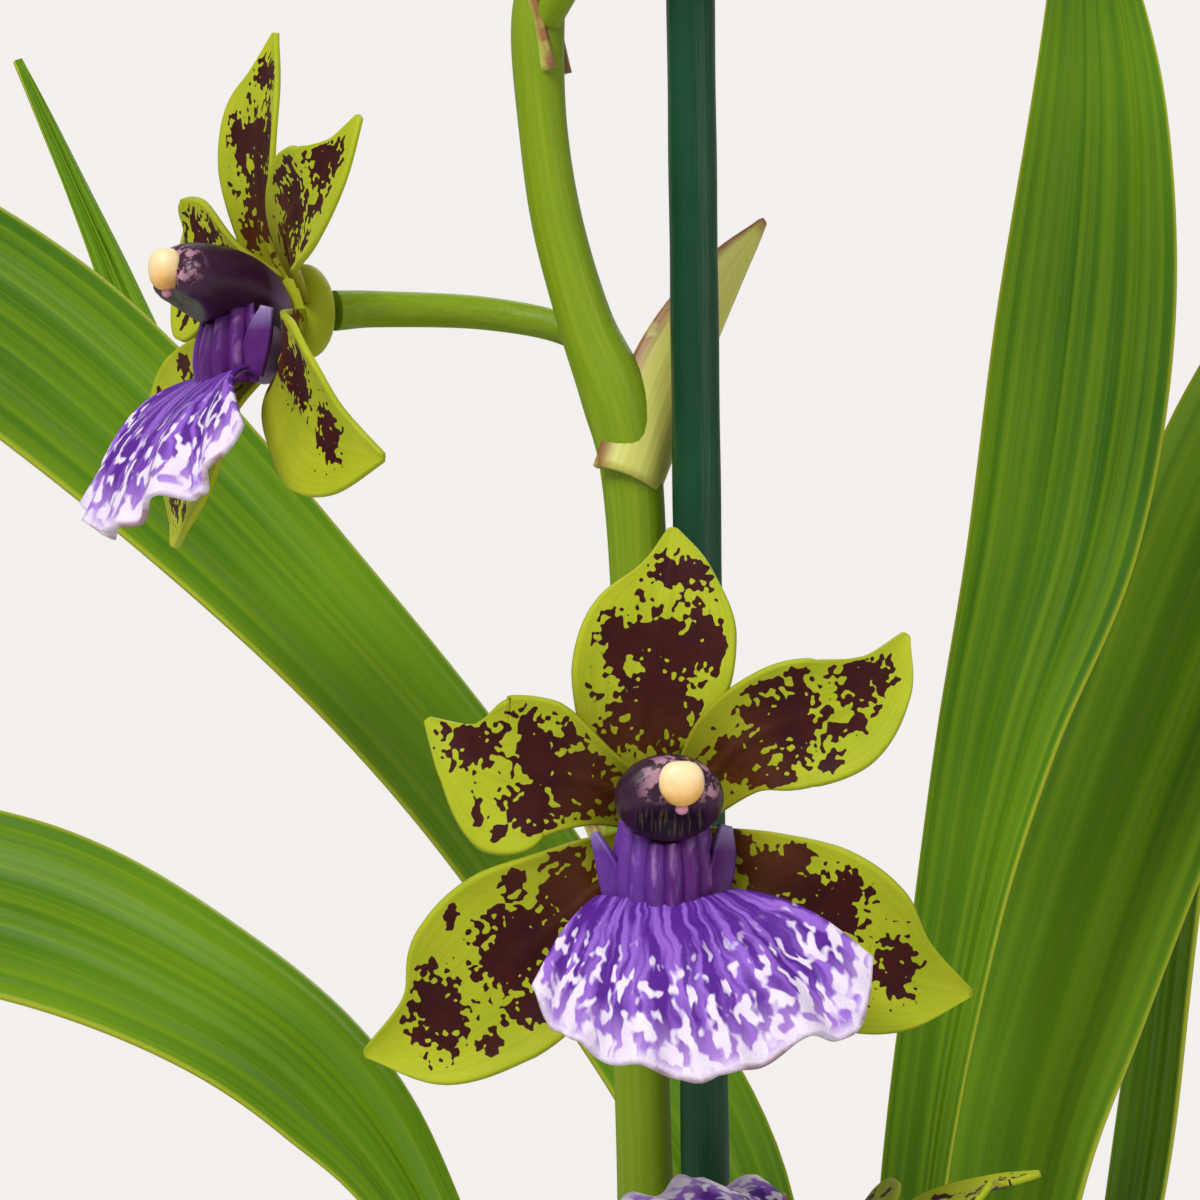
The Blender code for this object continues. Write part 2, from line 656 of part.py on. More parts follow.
def pedicel_ends(hub, face, top, size):
    """Two points behind a bloom's hub, in mm, where its ovary runs in along its axis."""
    (_, forward, height), (_, depth, _) = HUB
    place = bloom_matrix(hub, face, top, size)
    return [tuple(place @ (Vector((0, depth - forward + behind, height)) * MM) / MM)
            for behind in (7.0, PEDICEL_GAP)]


def make_bract(name, foot, tip, half_width, face, collection):
    """A pointed sheath that clasps the stem at its foot and leans away from it."""
    foot, tip = np.array(foot), np.array(tip)
    lean = tip - foot
    centres = [foot + lean * u + np.array([0, 0, 3.0 * math.sin(math.pi * u)])
               for u in (0.0, 0.35, 0.7, 1.0)]
    widths = [(half_width, half_width), (half_width * 0.95,) * 2, (half_width * 0.55,) * 2,
              (0.45, 0.45)]
    faces = [face] * 4
    surface = new_object(name, grid_surface(4, 4, lambda t, s: blade_point(
        centres, faces, widths, [95, 70, 45, 20], t, s)), collection)
    return solidify(surface, 0.9)


def make_stem(collection, materials):
    """The spike with its pedicels and bracts, grown as one."""
    line = [st[:3] for st in STEM_LINE]
    radii = [st[3] for st in STEM_LINE]
    stem = tube("flower_spike", smooth_line(line, STEM_ROWS), smooth_line(radii, STEM_ROWS),
                STEM_SIDES, collection)
    parts = []
    for name, hub, face, top, size, points in BLOOMS:
        path = smooth_line([*points, *pedicel_ends(hub, face, top, size)], PEDICEL_ROWS)
        thickness = [PEDICEL_RADIUS + PEDICEL_FLARE * (i / (PEDICEL_ROWS - 1)) ** 2
                     for i in range(PEDICEL_ROWS)]
        parts.append(tube(f"{name}_pedicel", path, thickness, PEDICEL_SIDES, collection))
    for name, points, _, radius in BUDS:
        path = smooth_line(points, 4)
        thickness = [1.3 + 0.15 * radius * (i / 3) ** 3 for i in range(4)]
        parts.append(tube(f"{name}_pedicel", path, thickness, PEDICEL_SIDES, collection))
    for name, foot, tip, half_width, face in BRACTS:
        parts.append(make_bract(f"bract_{name}", foot, tip, half_width, face, collection))
    return dressed(join(stem, parts), materials["stem"], 60)


def make_buds(collection, materials):
    """Closed buds: pointed ovals with the seams of three sepals as shallow grooves."""
    sides, rows = 9, 7
    for name, points, length, radius in BUDS:
        foot = Vector(points[-1])
        along = (foot - Vector(points[-2])).normalized()
        turn = Vector((0, 0, 1)).rotation_difference(along).to_matrix()
        bm = bmesh.new()
        bmesh.ops.create_uvsphere(bm, u_segments=sides, v_segments=rows, radius=1.0)
        for vertex in bm.verts:
            angle = math.atan2(vertex.co.y, vertex.co.x)
            u = (vertex.co.z + 1) / 2
            groove = 1 - 0.07 * (1 + math.cos(3 * angle)) / 2
            swell = radius * groove * math.hypot(vertex.co.x, vertex.co.y) * (1.12 - 0.42 * u)
            local = Vector((swell * math.cos(angle), swell * math.sin(angle), length * u + GAP))
            vertex.co = (foot + turn @ local) * MM
        dressed(new_object(name, bm, collection), materials["bud"], 60)


def make_leaf(name, stations, foot_face, tip_face, collection, material):
    """A pleated strap leaf, folded at its foot and open along its blade."""
    centres = [st[:3] for st in stations]
    widths = [(st[3], st[3]) for st in stations]
    count = len(stations)
    faces = [np.array(foot_face) + (np.array(tip_face) - np.array(foot_face)) * i / (count - 1)
             for i in range(count)]
    curls = [LEAF_TIP_CURL + (LEAF_FOOT_CURL - LEAF_TIP_CURL) * max(0, 1 - 2.6 * i / (count - 1))
             for i in range(count)]

    def place(t, s):
        pleat = LEAF_PLEAT * math.cos(math.pi * LEAF_COLUMNS / 2 * s) * math.sin(math.pi * t)
        return blade_point(centres, faces, widths, curls, t, s, pleat)

    surface = new_object(name, grid_surface(LEAF_ROWS, LEAF_COLUMNS, place), collection)
    return dressed(solidify(surface, LEAF_THICKNESS), material, 50)


def make_pseudobulbs(collection, material):
    for name, (x, y), foot, waist, crown in PSEUDOBULBS:
        low = BARK_LEVEL + GAP
        height = CROWN_LEVEL - low
        profile = [(0, CROWN_LEVEL), (crown, CROWN_LEVEL)]
        for u in (0.8, 0.6, 0.4, 0.2, 0.0):
            bulge = math.sin(math.pi * (0.12 + 0.76 * u)) ** 0.8
            base = foot + (crown - foot) * u
            profile.append((base + (waist - base) * bulge * (1 - abs(u - 0.45)), low + height * u))
        profile.append((0, low))
        bulb = turned(name, profile, BULB_SIDES, collection)
        for vertex in bulb.data.vertices:
            vertex.co += Vector((x, y, 0)) * MM
        dressed(bulb, material, 50)


def make_pot(collection, material):
    inner_top = POT_TOP_RADIUS - POT_WALL
    inner_foot = POT_FOOT_RADIUS - POT_WALL
    rim_foot = POT_HEIGHT - POT_RIM_HEIGHT
    profile = [
        (0, POT_FLOOR),
        (inner_foot, POT_FLOOR),
        (inner_top, POT_HEIGHT - 1.2),
        (inner_top + 1.2, POT_HEIGHT),
        (POT_TOP_RADIUS + POT_RIM_PROUD - 1.6, POT_HEIGHT),
        (POT_TOP_RADIUS + POT_RIM_PROUD, POT_HEIGHT - 1.6),
        (POT_TOP_RADIUS + POT_RIM_PROUD - 0.8, rim_foot + 1.2),
        (POT_TOP_RADIUS + POT_RIM_PROUD - 2.2, rim_foot),
        (wall_radius(rim_foot) + 0.2, rim_foot - 0.4),
        (POT_FOOT_RADIUS + 0.6, 2.0),
        (POT_FOOT_RADIUS - 1.4, 0),
        (0, 0),
    ]
    pot = turned("pot", profile, POT_SIDES, collection)
    return dressed(pot, material, 35)


def wall_radius(height):
    """The pot's outer radius at a height, without its rim."""
    return POT_FOOT_RADIUS + (POT_TOP_RADIUS - POT_FOOT_RADIUS) * height / POT_HEIGHT


def make_chip(number, rng, taken, collection):
    """One flat bark chip, half sunk in the bark, clear of what stands there."""
    reach = wall_radius(BARK_LEVEL) - POT_WALL - CHIP_SIZE[1] - 2
    for _ in range(80):
        r, a = reach * math.sqrt(rng.random()), rng.uniform(0, 2 * math.pi)
        x, y = r * math.cos(a), r * math.sin(a)
        size = rng.uniform(*CHIP_SIZE)
        if all(math.hypot(x - cx, y - cy) > clear + size for cx, cy, clear in taken):
            break
    else:
        return None
    bm = bmesh.new()
    for corner in range(8):
        bm.verts.new([1 - 2 * (corner >> axis & 1) for axis in range(3)])
    spin = Euler((rng.uniform(-0.35, 0.35), rng.uniform(-0.35, 0.35), rng.uniform(0, 6.28)))
    height = rng.uniform(1.3, 2.4)
    level = BARK_LEVEL + rng.uniform(0.2, 1.4)
    for vertex in bm.verts:
        rough = Vector([rng.uniform(0.75, 1.05) for _ in range(3)])
        local = Vector((vertex.co.x * size * 0.8, vertex.co.y * size * 0.5,
                        vertex.co.z * height)) * rough
        local.rotate(spin)
        vertex.co = (local + Vector((x, y, level))) * MM
    bmesh.ops.convex_hull(bm, input=bm.verts)
    return new_object(f"chip_{number}", bm, collection)


def make_bark(collection, material):
    """The medium that fills the pot, with chips on top and plain holes for stem and stake."""
    clear = GAP + 0.3
    floor = POT_FLOOR + GAP
    top = wall_radius(BARK_LEVEL) - POT_WALL - clear - 0.2
    low = wall_radius(floor) - POT_WALL - clear - 1.0
    bark = turned("bark_medium", [(0, BARK_LEVEL), (top, BARK_LEVEL), (low, floor), (0, floor)],
                  POT_SIDES, collection)
    rng = random.Random(BARK_SEED)
    taken = [(x, y, waist + 1.5) for _, (x, y), _, waist, _ in PSEUDOBULBS]
    taken += [(STEM_LINE[1][0], STEM_LINE[1][1], 5.5), (0.4, -1.5, 5.0)]
    chips = [make_chip(i, rng, taken, collection) for i in range(CHIP_COUNT)]
    join(bark, [chip for chip in chips if chip])
    stem_hole = tube("stem_hole", [(-6.9, 6.2, STEM_FOOT_HOLE), (-7.3, 5.5, BARK_LEVEL + 12)],
                     [STEM_LINE[0][3] + HOLE_GAP + 0.4] * 2, 16, collection)
    stake_hole = tube("stake_hole", [stake_point(STAKE_FOOT[2] - 1), stake_point(BARK_LEVEL + 12)],
                      [STAKE_RADIUS + HOLE_GAP] * 2, STAKE_SIDES, collection)
    join(bark, [stem_hole, stake_hole], "DIFFERENCE")
    without_scraps(bark)
    return dressed(bark, material, 30)


def stake_point(height):
    """A point of the stake's axis at a height, mm."""
    u = (height - STAKE_FOOT[2]) / (STAKE_TOP[2] - STAKE_FOOT[2])
    return tuple(a + (b - a) * u for a, b in zip(STAKE_FOOT, STAKE_TOP))


def make_stake(collection, material):
    """A coated rod with a rounded top."""
    top = STAKE_TOP[2]
    heights = [STAKE_FOOT[2], top - 3, top - 1.6, top - 0.6, top]
    radii = [STAKE_RADIUS, STAKE_RADIUS, 2.6, 1.8, 0.8]
    stake = tube("stake", [stake_point(h) for h in heights], radii, STAKE_SIDES, collection)
    return dressed(stake, material, 50)


def stem_point(height):
    """The stem's centre at a height, mm."""
    for low, high in zip(STEM_LINE, STEM_LINE[1:]):
        if low[2] <= height <= high[2]:
            u = (height - low[2]) / (high[2] - low[2])
            return tuple(a + (b - a) * u for a, b in zip(low, high))
    return STEM_LINE[-1]


def make_clip(name, height, collection, material):
    """A soft wire tie: a closed loop round the stem and the stake."""
    sx, sy, _, stem_radius = stem_point(height)
    kx, ky, _ = stake_point(height)
    stem_reach = stem_radius + 1.0 + CLIP_RADIUS
    stake_reach = STAKE_RADIUS + 0.7 + CLIP_RADIUS
    away = math.atan2(ky - sy, kx - sx)
    steps = 9
    points = []
    for centre, reach, start in (((sx, sy), stem_reach, away + math.pi / 2),
                                 ((kx, ky), stake_reach, away - math.pi / 2)):
        for i in range(steps):
            a = start + math.pi * i / (steps - 1)
            points.append((centre[0] + reach * math.cos(a), centre[1] + reach * math.sin(a), height))
    curve = bpy.data.curves.new(name, "CURVE")
    curve.dimensions = "3D"
    curve.bevel_depth = CLIP_RADIUS * MM
    curve.bevel_resolution = 1
    spline = curve.splines.new("POLY")
    spline.use_cyclic_u = True
    spline.points.add(len(points) - 1)
    for point, co in zip(spline.points, points):
        point.co = (*(Vector(co) * MM), 1.0)
    clip = bpy.data.objects.new(name, curve)
    curve.materials.append(material)
    collection.objects.link(clip)
    return clip


def main():
    clear_scene()
    plant = bpy.data.collections.new("zygopetalum_orchid")
    bpy.context.scene.collection.children.link(plant)
    materials = make_materials()
    make_pot(plant, materials["pot"])
    make_bark(plant, materials["bark"])
    make_stake(plant, materials["stake"])
    for number, height in enumerate(CLIP_HEIGHTS, 1):
        make_clip(f"tie_{number}", height, plant, materials["clip"])
    make_pseudobulbs(plant, materials["pseudobulb"])
    for name, (stations, foot_face, tip_face) in LEAVES.items():
        make_leaf(name, stations, foot_face, tip_face, plant, materials["leaf"])
    make_stem(plant, materials)
    make_buds(plant, materials)
    make_blooms(plant, materials)


main()
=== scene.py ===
# The looks of the potted zygopetalum orchid: finer pieces in place of the plain solids, with
# their markings and materials, a pale floor, soft light and the camera of the photograph.
import math
import random

import bmesh
import bpy
import numpy as np
from mathutils import Euler, Matrix, Vector


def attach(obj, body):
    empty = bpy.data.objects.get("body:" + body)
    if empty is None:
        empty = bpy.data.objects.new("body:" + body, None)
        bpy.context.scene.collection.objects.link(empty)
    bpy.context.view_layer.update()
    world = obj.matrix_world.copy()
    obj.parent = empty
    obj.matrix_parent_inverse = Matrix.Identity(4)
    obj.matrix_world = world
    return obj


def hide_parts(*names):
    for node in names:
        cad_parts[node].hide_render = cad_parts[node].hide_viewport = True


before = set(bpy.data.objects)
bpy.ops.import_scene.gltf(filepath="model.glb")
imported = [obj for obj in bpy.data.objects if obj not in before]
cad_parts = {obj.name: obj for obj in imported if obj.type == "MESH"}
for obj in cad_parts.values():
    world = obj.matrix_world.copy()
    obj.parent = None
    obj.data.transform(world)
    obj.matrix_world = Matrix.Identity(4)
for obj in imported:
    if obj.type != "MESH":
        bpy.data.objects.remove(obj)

# The driving values are those of the part's source, in millimetres
MM = 0.001
GAP = 0.3  # mm between neighbours that touch

# Pot and growing medium, mm
POT_HEIGHT = 115.0
POT_TOP_RADIUS = 66.0
POT_FOOT_RADIUS = 47.0
POT_WALL = 4.0
POT_FLOOR = 6.0
POT_RIM_HEIGHT = 14.0
POT_RIM_PROUD = 3.0
BARK_LEVEL = 100.0
BARK_SEED = 11

# Stake and stem, mm
STAKE_RADIUS = 2.95
STAKE_FOOT = (1.3, -1.5, 30.0)
STAKE_TOP = (-4.0, -1.5, 452.0)
PEDICEL_RADIUS = 1.9
PEDICEL_FLARE = 0.6
CLIP_HEIGHTS = (186.0, 392.0)
CLIP_RADIUS = 0.9

# The stem's centre line from the bark up, mm: x, y, z, radius
STEM_LINE = [
    (-7.0, 6.0, 62.0, 3.7),
    (-7.2, 5.6, 100.0, 3.7),
    (-7.8, 5.0, 150.0, 3.7),
    (-8.2, 4.0, 190.0, 3.6),
    (-8.2, 3.0, 209.0, 4.2),
    (-8.4, 2.8, 226.0, 3.5),
    (-9.2, 2.8, 252.0, 3.5),
    (-9.6, 2.8, 266.0, 4.1),
    (-9.2, 2.6, 280.0, 3.5),
    (-9.2, 2.4, 300.0, 3.5),
    (-10.2, 2.2, 316.0, 3.8),
    (-12.2, 2.4, 325.0, 4.2),
    (-15.8, 2.8, 334.0, 3.4),
    (-19.2, 3.0, 346.0, 3.15),
    (-21.0, 3.0, 358.0, 3.0),
    (-21.6, 3.0, 370.0, 3.3),
    (-20.4, 2.8, 378.0, 2.9),
    (-16.4, 2.6, 392.0, 2.8),
    (-12.6, 2.6, 406.0, 2.7),
    (-10.6, 2.8, 416.0, 3.1),
    (-11.0, 3.4, 428.0, 2.4),
    (-13.0, 3.8, 440.0, 2.2),
    (-13.8, 3.6, 449.0, 2.5),
    (-12.8, 2.8, 460.0, 1.8),
    (-11.4, 2.0, 470.0, 2.0),
    (-10.8, 1.2, 480.0, 1.4),
    (-11.0, 0.4, 486.0, 1.3),
]

# Each bloom: hub in mm, the way it faces, the way its top points, its size, then the
# points of its pedicel from the stem to near the hub
BLOOMS = [
    ("bloom_1", (-6.1, -30.0, 274.1), (0, -1, 0), (0, 0, 1), 1.0,
     [(-9.4, 1.5, 264.0), (-8.6, -6.0, 266.0)]),
    ("bloom_2", (-51.8, 4.0, 336.0), (-0.9, -0.43, -0.05), (0, 0, 1), 0.97,
     [(-12.0, 6.0, 327.5), (-17.5, 9.6, 333.0), (-28.0, 11.5, 335.4)]),
    ("bloom_3", (16.8, -40.7, 215.0), (-0.58, -0.1, 0.81), (0.58, -0.75, 0.33), 0.94,
     [(-6.4, 4.6, 206.5), (4.0, 7.0, 199.0), (18.0, -2.0, 188.0), (27.0, -24.0, 187.0)]),
    ("bloom_4", (14.0, -20.0, 402.5), (0.85, -0.52, 0.05), (0.1, 0, 1), 0.95,
     [(-20.4, 1.0, 371.0), (-14.0, -8.5, 381.0), (-6.0, -13.0, 394.0)]),
    ("bloom_5", (-38.0, 14.0, 430.0), (-0.88, 0.46, -0.1), (-0.1, 0, 1), 0.9,
     [(-11.6, 4.6, 416.5), (-17.0, 6.0, 423.0)]),
]

# Buds on their pedicels: points from the stem to the bud's foot in mm, then the bud's
# length and its greatest radius
BUDS = [
    ("bud_1", [(-13.0, 2.6, 449.0), (-4.0, -4.0, 454.0), (3.0, -8.0, 460.0)], 21.0, 5.4),
    ("bud_2", [(-11.8, 2.6, 470.0), (-18.0, 7.0, 474.0), (-23.0, 10.0, 480.0)], 16.0, 4.2),
    ("bud_3", [(-11.0, 0.6, 484.0), (-10.6, -1.0, 489.0), (-9.6, -3.0, 494.0)], 12.0, 3.2),
]

# A bract sheathes the stem at each node: foot, tip, half width in mm, and the direction
# that its hollow side faces
BRACTS = [
    ("node_low", (-8.0, 3.0, 203.0), (9.0, 16.0, 226.0), 5.4, (-0.7, -0.3, 0.6)),
    ("node_main", (-9.6, 2.8, 258.0), (-22.0, 15.0, 284.0), 5.4, (0.7, -0.4, 0.6)),
    ("node_left", (-8.2, -1.2, 314.0), (6.2, 13.5, 347.0), 7.6, (-0.45, 0.75, 0.5)),
    ("node_top", (-21.4, 3.0, 364.0), (-29.0, 6.0, 394.0), 4.8, (0.9, -0.3, 0.2)),
    ("node_upper", (-11.0, 2.8, 410.0), (0.5, 8.0, 432.0), 4.4, (-0.8, -0.3, 0.4)),
    ("node_bud", (-13.6, 3.6, 444.0), (-21.0, 6.0, 461.0), 3.6, (0.8, -0.3, 0.4)),
]

# A tepal's stations from foot to tip, mm in the bloom's frame:
# x, forward, z, half width on its left, half width on its right
TEPALS = {
    "dorsal_sepal": [
        (-0.6, -0.8, 2.4, 2.8, 2.8),
        (-3.3, 1.2, 8.5, 6.0, 5.4),
        (-2.4, 2.4, 16.5, 9.0, 9.4),
        (-0.6, 2.6, 24.0, 8.2, 8.8),
        (0.4, 1.8, 29.6, 3.6, 5.0),
        (0.6, 0.6, 34.3, 0.45, 0.45),
    ],
    "left_petal": [
        (-2.4, -0.8, 1.4, 2.6, 2.6),
        (-8.0, 3.4, 4.4, 5.0, 4.2),
        (-14.0, 4.8, 5.8, 7.6, 8.6),
        (-19.6, 5.2, 5.8, 9.3, 9.0),
        (-24.4, 4.2, 7.6, 3.2, 5.4),
        (-28.0, 2.2, 12.0, 0.45, 0.45),
    ],
    "right_petal": [
        (2.4, -0.8, 1.6, 2.6, 2.6),
        (7.6, 3.2, 8.4, 5.6, 6.0),
        (13.8, 4.2, 11.6, 7.0, 8.0),
        (19.8, 4.4, 13.4, 6.2, 7.6),
        (24.6, 3.2, 16.8, 3.6, 4.4),
        (27.8, 1.4, 21.9, 0.45, 0.45),
    ],
    "left_sepal": [
        (-2.2, -0.8, -3.0, 2.8, 2.8),
        (-8.6, 5.2, -8.0, 6.8, 6.8),
        (-15.2, 6.4, -13.8, 10.0, 10.8),
        (-21.6, 6.8, -19.2, 10.0, 10.6),
        (-27.4, 6.0, -24.0, 6.8, 5.8),
        (-35.2, 3.6, -26.8, 0.45, 0.45),
    ],
    "right_sepal": [
        (2.2, -0.8, -3.0, 2.8, 2.8),
        (9.0, 5.2, -7.4, 7.4, 6.6),
        (15.6, 6.4, -11.4, 10.0, 9.2),
        (22.2, 6.8, -15.2, 9.4, 9.2),
        (28.0, 6.0, -18.0, 5.4, 6.4),
        (35.2, 3.6, -19.8, 0.45, 0.45),
    ],
}
TEPAL_FORWARD_CURL = 22.0  # degrees that each margin turns forward
HUB = ((0.0, -2.0, -0.8), (5.2, 3.4, 6.0))  # centre (x, forward, z) and radii
OVARY_LENGTH = 7.0
PEDICEL_GAP = 0.55  # the end of a pedicel is flat and the hub behind it is round

# The lip's outer edge from its left corner to its right one, mm: x, forward, z
LIP_EDGE = [
    (-15.6, 19.0, -18.6),
    (-12.6, 22.6, -22.8),
    (-7.6, 25.6, -25.5),
    (-2.4, 27.0, -26.8),
    (4.4, 27.6, -27.8),
    (9.8, 27.0, -26.2),
    (16.0, 24.8, -23.4),
    (21.6, 21.2, -22.4),
    (23.2, 17.6, -14.4),
]
# The lip's neck, where the blade leaves the callus, left to right
LIP_NECK = [(-8.2, 8.6, -8.4), (-3.0, 10.8, -8.6), (3.0, 11.0, -8.6), (7.6, 9.2, -7.6)]
LIP_SWELL = (1.6, 1.8)  # how far the blade bellies forward and up
LIP_WAVE = 0.9
LIP_WAVES = 5.5
LIP_WAVE_RISE = 0.6  # share of the wave that goes up

# The ribbed callus, a half collar under the column
CALLUS_RADIUS = 4.9
CALLUS_CENTRE = (-0.5, 6.0)  # x, forward
CALLUS_FOOT = -9.4
CALLUS_CREST = -2.6
CALLUS_CREST_RISE = 1.1
CALLUS_HALF_ANGLE = 82.0
CALLUS_RIBS = 7
CALLUS_RIB_HEIGHT = 0.35
CALLUS_BELLY = 0.6
CALLUS_TAPER = 0.8
CALLUS_DEPTH = 1.15  # its reach forward as a share of its radius

# Side lobes of the lip from foot to top, mm: x, forward, z, half width left and right
SIDE_LOBES = [
    [(-5.8, 8.0, -8.8, 1.8, 1.8), (-6.9, 7.6, -5.0, 1.5, 1.5), (-8.6, 6.8, -1.0, 0.45, 0.45)],
    [(5.2, 8.0, -8.4, 1.8, 1.8), (6.2, 7.0, -3.8, 1.8, 1.8), (6.6, 6.0, -0.2, 0.8, 0.8)],
]

# The column from its foot to its tip, mm: forward, height, half width, half depth
COLUMN = [
    (0.4, -4.6, 3.2, 3.0),
    (1.6, -1.2, 4.0, 4.4),
    (5.0, 1.8, 5.0, 4.4),
    (9.0, 3.2, 5.9, 4.5),
    (13.0, 3.2, 6.3, 5.1),
    (15.6, 3.4, 5.7, 4.4),
    (16.8, 3.4, 4.4, 3.1),
]
HOOD_HOLLOW = ((0.2, 17.2, -0.6), (4.4, 4.6, 3.7))
ANTHER_CAP = ((1.4, 17.3, 5.0), (2.6, 1.9, 2.6))
FOOT_WEDGE = ((0.0, 4.0, -4.6), (3.4, 3.2, 5.2))

# Leaves: crown point, then the rest of the midrib in mm with the half width there, and
# the direction that the upper face looks in at the foot and at the tip
LEAVES = {
    "leaf_left_high": (
        [(5.5, 36.5, 131, 4), (4.5, 40, 172, 6), (2, 45, 222, 9.6), (-21, 53, 261, 9.8),
         (-50, 59, 296, 11.5), (-92, 68, 335, 16.5), (-130, 76, 354, 16), (-166, 82, 352, 10),
         (-192, 86, 340, 0.7)],
        (0.5, -0.8, 0.3), (0.1, -0.6, 0.8)),
    "leaf_left_low": (
        [(-6, 40, 131, 4), (-18, 50, 172, 5), (-36, 64, 214, 6), (-50, 70, 234, 10.6),
         (-68, 74, 247, 13), (-95, 80, 258, 15.4), (-128, 86, 262, 14), (-160, 92, 254, 9),
         (-188, 96, 236, 0.7)],
        (0.5, -0.7, 0.5), (0.1, -0.75, 0.66)),
    "leaf_left_back": (
        [(1.5, 47.5, 131, 3.6), (4, 56, 172, 5), (2.6, 65, 220, 6.6), (-22, 80, 261, 7.2),
         (-48, 95, 293, 6.6), (-70, 105, 319, 4.6), (-84, 110, 350, 2.1), (-96, 115, 376, 0.6)],
        (0.5, -0.8, 0.3), (0.3, -0.9, 0.2)),
    "leaf_right_high": (
        [(21.5, 20, 131, 4.2), (22.5, 27, 175, 5), (26.2, 33, 223, 5), (31.5, 35, 257, 6.2),
         (37, 35, 283, 8.6), (44, 35, 308, 11.4), (48, 35, 335, 11.6), (49.6, 35, 361, 9),
         (48.6, 35, 382, 5), (46.5, 35, 402, 0.6)],
        (-0.75, -0.65, 0.0), (0.0, -1.0, 0.1)),
    "leaf_right_outer": (
        [(30, 29, 131, 4.2), (34, 46, 175, 7.5), (39.7, 58, 221, 10.6), (47, 61, 248, 12.2),
         (58, 63, 279, 13.6), (76, 66, 322, 14.4), (94, 70, 350, 11.6), (114, 74, 366, 7),
         (136, 78, 370, 0.7)],
        (-0.3, -0.95, 0.1), (-0.4, -0.8, 0.4)),
    "leaf_right_back": (
        [(36.0, 20.6, 131, 3.4), (47, 47, 172, 5), (59, 84, 218, 6), (64, 91, 252, 6.4),
         (68, 96, 287, 6), (72, 100, 320, 4), (76, 104, 350, 0.6)],
        (-0.8, -0.5, 0.2), (-0.85, -0.5, 0.1)),
    "leaf_right_arch": (
        [(32, 14.5, 131, 4), (52, 7, 163, 8), (84, -4, 189, 12), (122, -14, 196, 12.5),
         (156, -22, 180, 8.5), (178, -28, 154, 0.7)],
        (-0.6, -0.2, 0.7), (0.5, -0.2, 0.8)),
    "leaf_left_arch": (
        [(-34.5, 18, 131, 4), (-56, 20, 165, 8), (-90, 18, 190, 11.6), (-128, 12, 192, 12),
         (-160, 6, 172, 8), (-180, 2, 144, 0.7)],
        (0.6, -0.2, 0.7), (-0.5, -0.2, 0.8)),
    "leaf_back_left": (
        [(-25, 25, 131, 4), (-38, 52, 166, 8), (-64, 84, 194, 11.6), (-98, 112, 202, 12),
         (-130, 134, 184, 8), (-150, 148, 158, 0.7)],
        (0.4, -0.6, 0.7), (-0.4, 0.4, 0.8)),
    "leaf_back_right": (
        [(9, 43, 131, 3.8), (30, 74, 166, 8), (58, 104, 194, 11.6), (92, 130, 202, 12),
         (124, 150, 186, 8), (144, 163, 160, 0.7)],
        (-0.4, -0.6, 0.7), (0.4, 0.4, 0.8)),
    "leaf_front_left": (
        [(0.5, -33, 131, 4), (-20, -52, 160, 7.5), (-50, -76, 182, 11), (-84, -98, 184, 11.4),
         (-114, -116, 164, 7.5), (-132, -127, 136, 0.7)],
        (0.5, 0.5, 0.7), (-0.4, -0.4, 0.8)),
    "leaf_front_right": (
        [(11, -34, 131, 4), (32, -52, 158, 7.5), (62, -74, 180, 11), (96, -94, 184, 11.4),
         (126, -110, 166, 7.5), (146, -120, 138, 0.7)],
        (-0.5, 0.5, 0.7), (0.4, -0.4, 0.8)),
}
LEAF_THICKNESS = 0.8
LEAF_FOOT_CURL = 62.0  # degrees that each half of the blade folds up at its foot
LEAF_TIP_CURL = 12.0
LEAF_PLEAT = 0.45
LEAF_PLEATS = 6
LEAF_FINE_PLEAT = 0.12
LEAF_FINE_PLEATS = 13
LEAF_WAVE = 0.7

# Pseudobulbs: centre, then radius at the bark, widest radius and crown radius
PSEUDOBULBS = [
    ("pseudobulb_1", (-29.0, 18.0), 9.0, 13.0, 8.0),
    ("pseudobulb_2", (28.5, 21.5), 9.5, 14.0, 9.6),
    ("pseudobulb_3", (5.5, -33.0), 9.0, 12.5, 8.0),
    ("pseudobulb_4", (1.5, 41.5), 9.0, 12.5, 9.4),
]
CROWN_LEVEL = 130.4
BULB_RIB = 0.012
BULB_RIBS = 14

# A bract's four stations: how far along it they are, their share of its half width but for the
# tip's own, how far its middle bows up, and the degrees that its halves fold in
BRACT_SPANS = (0.0, 0.35, 0.7, 1.0)
BRACT_SHARES = (1.0, 0.95, 0.55)
BRACT_TIP = 0.45
BRACT_BOW = 3.0
BRACT_CURLS = (95, 70, 45, 20)
BUD_PEDICEL_RADIUS = 1.3
BUD_PEDICEL_FLARE = 0.15  # share of the bud's radius
LOBE_FACE = (0.6, -0.8, 0.0)  # the first number points away from the bloom's middle
LOBE_CURL = 20
LEAST_REACH = 0.3  # a blade's least half width, and its least curl in degrees
LEAST_CURL = 0.5

# How fine the scene's pieces are: rows and columns of a blade, or steps along a piece
TEPAL_GRID = (60, 36)
LIP_GRID = (60, 110)
CALLUS_GRID = (30, 160)
LOBE_GRID = (18, 12)
COLUMN_GRID = (50, 36)
LEAF_GRID = (110, 40)
BRACT_GRID = (44, 26)
STEM_STEPS = 260
PEDICEL_STEPS = 50
BUD_STEPS = 30
BULB_STEPS = 24
TIE_STEPS = 8

